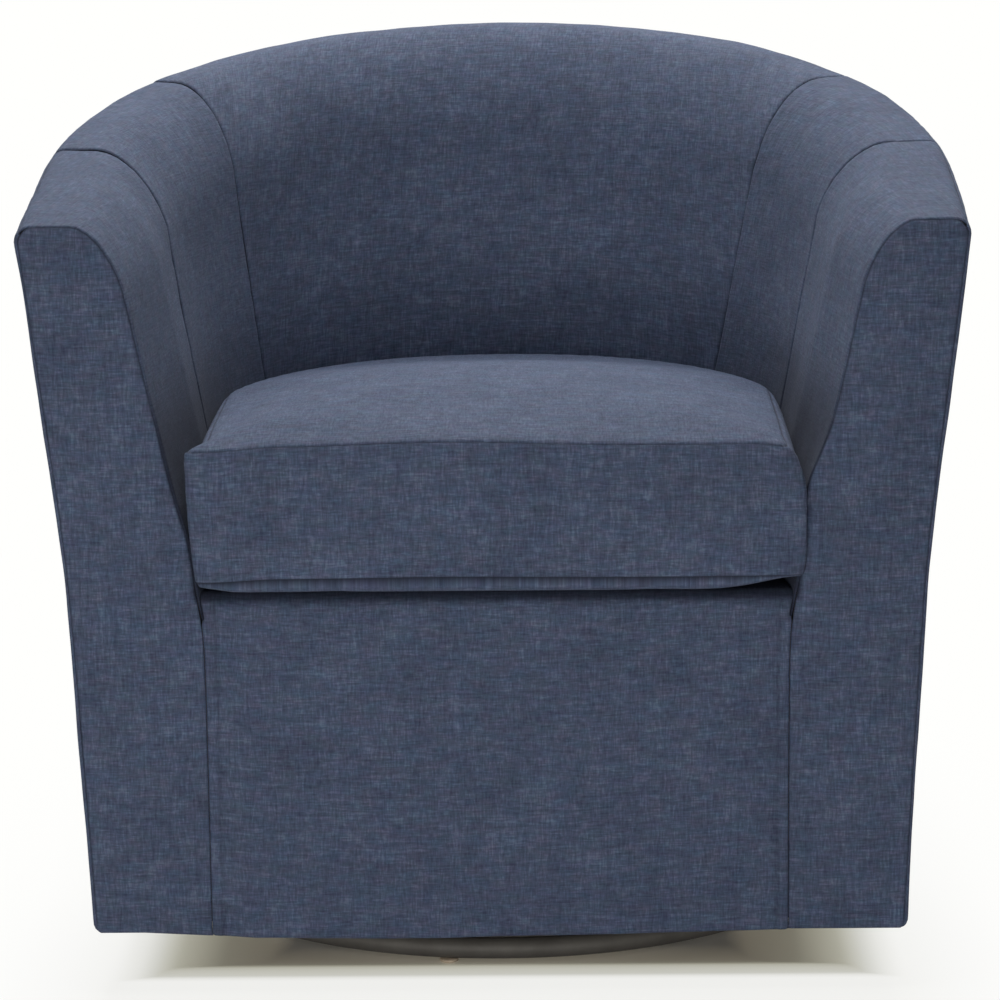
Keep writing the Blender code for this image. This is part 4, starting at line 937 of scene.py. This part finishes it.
def cushion_half(side, share):
    """Half of the cushion's plan at a share of its height, from the back's middle to the front's."""
    low, middle, top = CUSHION_WIDTHS[side]
    widest = (1 - share) * (low * (1 - 2 * share) + 4 * middle * share) + top * share * (2 * share - 1)
    back = inner_plan(np.linspace(0, side, BACK_STEPS), mix(CUSHION_LOW_Z, CUSHION_TOP_Z, share))
    y = np.maximum(back[:, 1] - CUSHION_FIT, FRONT_Y + CUSHION_CORNER)
    ear = EAR_SHARE[side] * (1 - ease((y - FRONT_Y - CUSHION_CORNER) / EAR_RUN)) ** 2
    widest = widest - CUSHION_DROP[side] * share ** DROP_POWER * (1 - ear)
    room = np.abs(back[:, 0]) - CUSHION_FIT
    width = room - soft_ramp(room - widest, CUSHION_BLEND)
    inner = width[-1] - CUSHION_CORNER
    front_y = CUSHION_FRONT_Y + CUSHION_BULGE * (2 * share - 1) ** 2
    turns = np.linspace(0, QUARTER, CORNER_STEPS)[1:]
    bulge = CORNER_BULGE[side] * (1 - (1 - EAR_SHARE[side]) * share ** 4) * np.sin(2 * turns) ** 2
    corner = np.stack([inner + CUSHION_CORNER * np.cos(turns) + bulge,
                       front_y + CUSHION_BOW + CUSHION_CORNER * (1 - np.sin(turns))], -1)
    across = np.linspace(1, 0, FRONT_STEPS)[1:]
    front = np.stack([across * inner, front_y + CUSHION_BOW * across ** 2], -1)
    half = np.concatenate([np.stack([width, y], -1), corner, front])
    return resample(half, count=CUSHION_STEPS // 2) * [side, 1]


def cushion_plan(share):
    """The whole plan at a share of the height, from the middle of the back, to the left and round."""
    return np.concatenate([cushion_half(-1, share), cushion_half(1, share)[1:-1][::-1]])


def crown_height(flat, outline):
    """The crowned top's height, which falls to its seam and to the back."""
    arms, ring = flat - CUSHION_CENTRE, outline - CUSHION_CENTRE
    angle = np.arctan2(ring[:, 1], ring[:, 0])
    order = np.argsort(angle)
    reach = np.interp(np.arctan2(arms[:, 1], arms[:, 0]), angle[order], np.linalg.norm(ring, axis=1)[order],
                      period=2 * math.pi)
    scale = np.clip(np.linalg.norm(arms, axis=1) / reach, 0, 1)
    fall = 1 - CROWN_FALL_SHARE * ease((flat[:, 1] - CROWN_FALL_Y) / CROWN_FALL_RUN)
    return CUSHION_TOP_Z + CUSHION_CROWN * (1 - scale ** CROWN_POWER) ** CROWN_EASE * fall


def lip_height(flat, distance):
    """The underside's height, which rises round the lip to its seam and is pinched at the front corners."""
    left = np.clip(1 - distance / LIP_RUN, 0, 1)
    height = UNDER_Z + (CUSHION_LOW_Z - UNDER_Z) * (1 - np.cbrt(1 - left ** 3))
    for side, run in PINCH_RUN.items():
        corner = np.array([side * CUSHION_WIDTHS[side][0], CUSHION_FRONT_Y])
        height = mix(height, CUSHION_LOW_Z, np.exp(-(np.linalg.norm(flat - corner, axis=1) / run) ** 2))
    return height


def cushion_face(turn, strength, pace, seed):
    """A sewn face, up with a turn of 1 or down with -1: its points, triangles and distance from the seam.

    Pace is the seam's length for a step of the outline.
    """
    outline = cushion_plan(max(turn, 0))
    flat, faces = fill_outline(outline)
    aside, _, index = nearest_edge(flat, outline)
    height = crown_height(flat, outline) if turn > 0 else lip_height(flat, aside)
    distance = np.hypot(aside, height - height[0])
    height = height - turn * strength * seam_dip(distance, index * pace, seed)
    nudge = SEAM_NUDGE * strength * SEAM_DEPTH * sunk(distance)
    flat = flat - unit(flat - CUSHION_CENTRE) * nudge[:, None]
    return np.concatenate([flat, height[:, None]], 1), np.array(faces)[:, ::turn], distance


def make_cushion():
    """The loose box cushion as one closed form: two sewn faces and the boxing between them."""
    shares = spread(CUSHION_HEIGHT)
    levels = mix(CUSHION_LOW_Z, CUSHION_TOP_Z, shares)
    rings = np.array([np.insert(cushion_plan(share), 2, z, axis=1) for share, z in zip(shares, levels)])
    closed = np.concatenate([rings, rings[:, :1]], 1)
    rows, count = len(shares) - 1, rings.shape[1]
    run = lengths(closed, 1)
    seam_run = np.minimum(shares, 1 - shares) * CUSHION_HEIGHT
    strength = np.where(shares < 0.5, LOW_SEAM, 1)[:, None]
    dip = strength * seam_dip(seam_run[:, None], run, 71)
    outward = unit(np.cross(np.gradient(closed, axis=1), np.gradient(closed, axis=0)))
    band = (closed - outward * dip[..., None])[:, :-1]
    top, top_faces, top_distance = cushion_face(1, 1, run[0, -1] / count, 72)
    low, low_faces, low_distance = cushion_face(-1, LOW_SEAM, run[0, -1] / count, 73)
    top[:count, :2] = band[-1, :, :2]
    band[0, :, 2] = low[:count, 2]

    points = np.concatenate([band[:-1].reshape(-1, 3), top, low[count:]])
    top_start = rows * count
    index = np.arange(top_start + count).reshape(-1, count)
    quads = quads_of(index, np.roll(index, -1, axis=1)).tolist()
    low_start = top_start + len(top) - count
    panels = [*(top_faces + top_start), *np.where(low_faces < count, low_faces, low_faces + low_start)]
    faces = quads + [face.tolist() for face in panels]
    points = points + cushion_push(points, faces)
    points[:, 2] += seam_bow(points)
    made = add_mesh("seat_cushion", points, faces)

    run = run - run[:, count // 2:count // 2 + 1]
    up = shares[:, None] * CUSHION_HEIGHT + 0 * run
    strip = np.stack([run, up, np.full_like(run, CUSHION_BAND_LAYER)], -1)
    corners = np.stack([strip[:-1, :-1], strip[:-1, 1:], strip[1:, 1:], strip[1:, :-1]], 2).reshape(-1, 3)
    flat = np.insert(points[:, :2], 2, CUSHION_FACE_LAYER, axis=1)
    set_layer(made, "weave", np.concatenate([corners, flat[np.concatenate(panels)]]), "CORNER")
    distance = np.concatenate([np.repeat(seam_run[:-1], count), top_distance, low_distance[count:]])
    # Painted shade in the cushion's seam creases
    set_layer(made, "painted_shade", painted_crease_shade(distance))
    keep(made, "cushion_core", "cushion_top_panel", "cushion_bottom_panel", "cushion_zip_band",
         "cushion_boxing")


def seam_bow(points):
    """How far the cushion's front seams bow up in the middle and hang at the corners."""
    x, y, z = points.T
    bow = np.exp(-((x - BOW_X) / BOW_WIDTH) ** 2)
    low, top = BOW_LOW * bow, BOW_TOP * bow
    for side, (start, hang_run, low_depth, top_depth) in HANGS.items():
        hang = ease((side * x - start) / hang_run)
        low, top = low - low_depth * hang, top - top_depth * hang
    under = ease((z - UNDER_Z) / (CUSHION_LOW_Z - UNDER_Z))
    near_low = np.exp(-((z - CUSHION_LOW_Z) / LOW_SEAM_RUN) ** 2) * under
    near_top = ease((z - CUSHION_LOW_Z) / CUSHION_HEIGHT)
    return (1 - ease((y - FRONT_Y) / BOW_DEPTH)) * (near_low * low + near_top * top)


def mesh_points(made):
    """An object's mesh and points as the modifiers leave them."""
    mesh = bpy.data.meshes.new_from_object(made.evaluated_get(bpy.context.evaluated_depsgraph_get()))
    points = np.empty(len(mesh.vertices) * 3)
    mesh.vertices.foreach_get("co", points)
    return mesh, points.reshape(-1, 3)


def simulate_stuffing(points, faces):
    """A coarse copy's points at rest, and how far pressure pushes each while the seams are held."""
    coarse = add_mesh("cushion_coarse", points, faces)
    remesh = coarse.modifiers.new("remesh", "REMESH")
    remesh.mode = "VOXEL"
    remesh.voxel_size = SIM_VOXEL
    mesh, rest = mesh_points(coarse)
    bpy.data.objects.remove(coarse)
    body = add_object("cushion_cloth", mesh)
    from_seam = np.minimum(np.abs(rest[:, 2] - CUSHION_TOP_Z), np.abs(rest[:, 2] - CUSHION_LOW_Z))
    held = body.vertex_groups.new(name="held")
    held.add(np.flatnonzero(from_seam < SIM_VOXEL).tolist(), 1.0, "REPLACE")
    cloth = body.modifiers.new("cloth", "CLOTH").settings
    cloth.use_pressure = True
    cloth.uniform_pressure_force = SIM_PRESSURE
    cloth.vertex_group_mass = "held"
    cloth.effector_weights.gravity = 0
    for frame_number in range(1, SIM_FRAMES + 1):
        scene.frame_set(frame_number)
    push = mesh_points(body)[1] - rest
    bpy.data.objects.remove(body)
    scene.frame_set(1)
    return rest, push


def cushion_push(points, faces):
    """How far stuffing pushes each point: not at all at the seams, and less at the hidden sides."""
    rest, push = simulate_stuffing(points, faces)
    push *= np.minimum(1, SIM_CAP / np.maximum(np.linalg.norm(push, axis=1, keepdims=True), TINY))
    tree = kdtree.KDTree(len(rest))
    for number, point in enumerate(rest):
        tree.insert(point, number)
    tree.balance()
    result = np.zeros_like(points)
    for number, point in enumerate(points):
        found = tree.find_n(point, SIM_NEIGHBOURS)
        weights = np.array([1 / (gap + SIM_SOFTNESS) for _, _, gap in found])
        result[number] = weights @ push[[place for _, place, _ in found]] / weights.sum()
    y, z = points[:, 1], points[:, 2]
    from_top = np.where(z > CUSHION_TOP_Z + SIM_CROWN, SIM_SEAM_RUN, np.abs(z - CUSHION_TOP_Z))
    seam = np.minimum(from_top, np.abs(z - CUSHION_LOW_Z))
    side = np.where((z < CUSHION_TOP_Z) & (y > FRONT_Y + SIM_SIDE_Y), SIM_SIDE_SHARE, 1.0)
    return result * (ease(seam / SIM_SEAM_RUN) * side)[:, None]


# Base

def make_base():
    """The round tube of the base, and its four glides."""
    radius = RING_RADIUS - RING_TUBE / 2
    bpy.ops.mesh.primitive_torus_add(major_radius=radius, minor_radius=RING_TUBE / 2,
                                     major_segments=RING_STEPS[0], minor_segments=RING_STEPS[1],
                                     location=(0, SWIVEL_Y, GLIDE_HEIGHT + GAP + RING_TUBE / 2),
                                     rotation=(0, 0, BASE_TURN))
    ring = bpy.context.object
    ring.name = "ring_tube"
    ring.data.shade_smooth()
    ring.data.materials.append(FINISHES["bronze_enamel"])
    keep(ring, "base_ring", body="base", slot="bronze_enamel")
    turns = np.arange(GLIDE_STEPS) * math.tau / GLIDE_STEPS
    circle = np.stack([np.cos(turns), np.sin(turns), np.zeros(GLIDE_STEPS)], -1)
    points = np.concatenate([circle * GLIDE_RADIUS * out + [0, 0, z] for out, z in GLIDE_PROFILE])
    index = np.arange(len(points)).reshape(-1, GLIDE_STEPS)
    faces = quads_of(index, np.roll(index, -1, axis=1)).tolist()
    faces += [index[0, ::-1].tolist(), index[-1].tolist()]
    for number in range(GLIDE_COUNT):
        glide = add_mesh(f"glide_pad_{number + 1}", points, faces, "glide_nylon")
        glide.data.set_sharp_from_angle(angle=math.radians(50))
        angle = BASE_TURN + math.tau / GLIDE_COUNT * number
        glide.location = (radius * math.cos(angle), SWIVEL_Y + radius * math.sin(angle), 0)
        keep(glide, f"glide_{number + 1}", body="base", slot="glide_nylon")


# Camera, light and floor

def make_camera():
    """A long lens a little right of the middle, looking slightly down."""
    level = math.cos(CAMERA_PITCH)
    forward = Vector((math.sin(CAMERA_PAN) * level, math.cos(CAMERA_PAN) * level, math.sin(CAMERA_PITCH)))
    right = Vector((math.cos(CAMERA_PAN), -math.sin(CAMERA_PAN), 0))
    turn = Matrix((right, right.cross(forward), -forward)).transposed().to_4x4()
    data = bpy.data.cameras.new("camera")
    data.lens = CAMERA_LENS
    camera = add_object("camera", data)
    camera.matrix_world = Matrix.Translation(CAMERA_PLACE) @ turn @ Matrix.Rotation(CAMERA_ROLL, 4, "Z")
    scene.camera = camera


def make_lamps():
    """Soft boxes above, behind and low in front."""
    for name, (place, target, width, height, power) in LAMPS.items():
        data = bpy.data.lights.new(name, "AREA")
        data.shape = "RECTANGLE"
        data.size = width
        data.size_y = height
        data.energy = power
        light = add_object(name, data)
        light.location = place
        light.rotation_euler = (Vector(target) - Vector(place)).to_track_quat("-Z", "Y").to_euler()


def floor_finish():
    """A pale floor, near white to the camera but for the shadow under the chair, which is painted into its
    glow over the real shade.
    """
    floor = Nodes(bpy.data.materials.new("pale_floor"))
    floor.fill(floor.surface, Base_Color=(0.86, 0.85, 0.83, 1), Roughness=0.6)
    where = floor.add("SeparateXYZ", Vector=floor.add("TexCoord").outputs["Object"]).outputs
    furthest = SHADE_LEVELS[-1][0]
    depth = floor.math("DIVIDE", floor.math("ABSOLUTE", where["Y"]), furthest)
    under = floor.ramp(depth, [(place / furthest, (value,) * 3) for place, value in SHADE_LEVELS])
    across = floor.math("ABSOLUTE", floor.math("SUBTRACT", where["X"], SHADE_X))
    aside = floor.ramp(across, [(place, (value,) * 3) for place, value in SHADE_ASIDE])
    level = floor.blend(1.0, under, aside, "LIGHTEN")
    glow = floor.add("Emission", Color=floor.ramp(level, FLOOR_TINT))
    mixed = floor.add("MixShader")
    amount = floor.math("MULTIPLY", level, floor.add("LightPath").outputs["Is Camera Ray"])
    for value, socket in zip((amount, floor.surface.outputs[0], glow.outputs[0]), mixed.inputs):
        floor.link(value, socket)
    floor.fill(floor.tree.nodes["Material Output"], Surface=mixed.outputs[0])
    return floor.owner


def make_room():
    """A dim room that the camera and glossy surfaces see as white, and a floor with the chair's shadow,
    partly painted.
    """
    world = Nodes(bpy.data.worlds.new("room"))
    scene.world = world.owner
    path = world.add("LightPath").outputs
    seen = world.math("MAXIMUM", path["Is Camera Ray"], path["Is Glossy Ray"])
    seen = world.math("MAXIMUM", seen, path["Is Transmission Ray"])
    level = world.add("MapRange", Value=seen, To_Min=ROOM_LIGHT, To_Max=1.0).outputs[0]
    world.fill(world.tree.nodes["Background"], Color=(1, 1, 1, 1), Strength=level)
    bpy.ops.mesh.primitive_plane_add(size=30)
    floor = bpy.context.object
    floor.name = "floor"
    floor.data.materials.append(floor_finish())
    scene.view_settings.view_transform = "Standard"


FINISHES = {name: plain(name, *values) for name, values in PLAIN.items()}
FINISHES["navy_cloth"] = navy_cloth()
finish_nodes()
make_inside_covers()
make_outside_covers()
for arm_side, arm_word in SIDES:
    make_arm_front(arm_side, arm_word)
make_front_border()
make_cushion()
make_base()
make_camera()
make_lamps()
make_room()
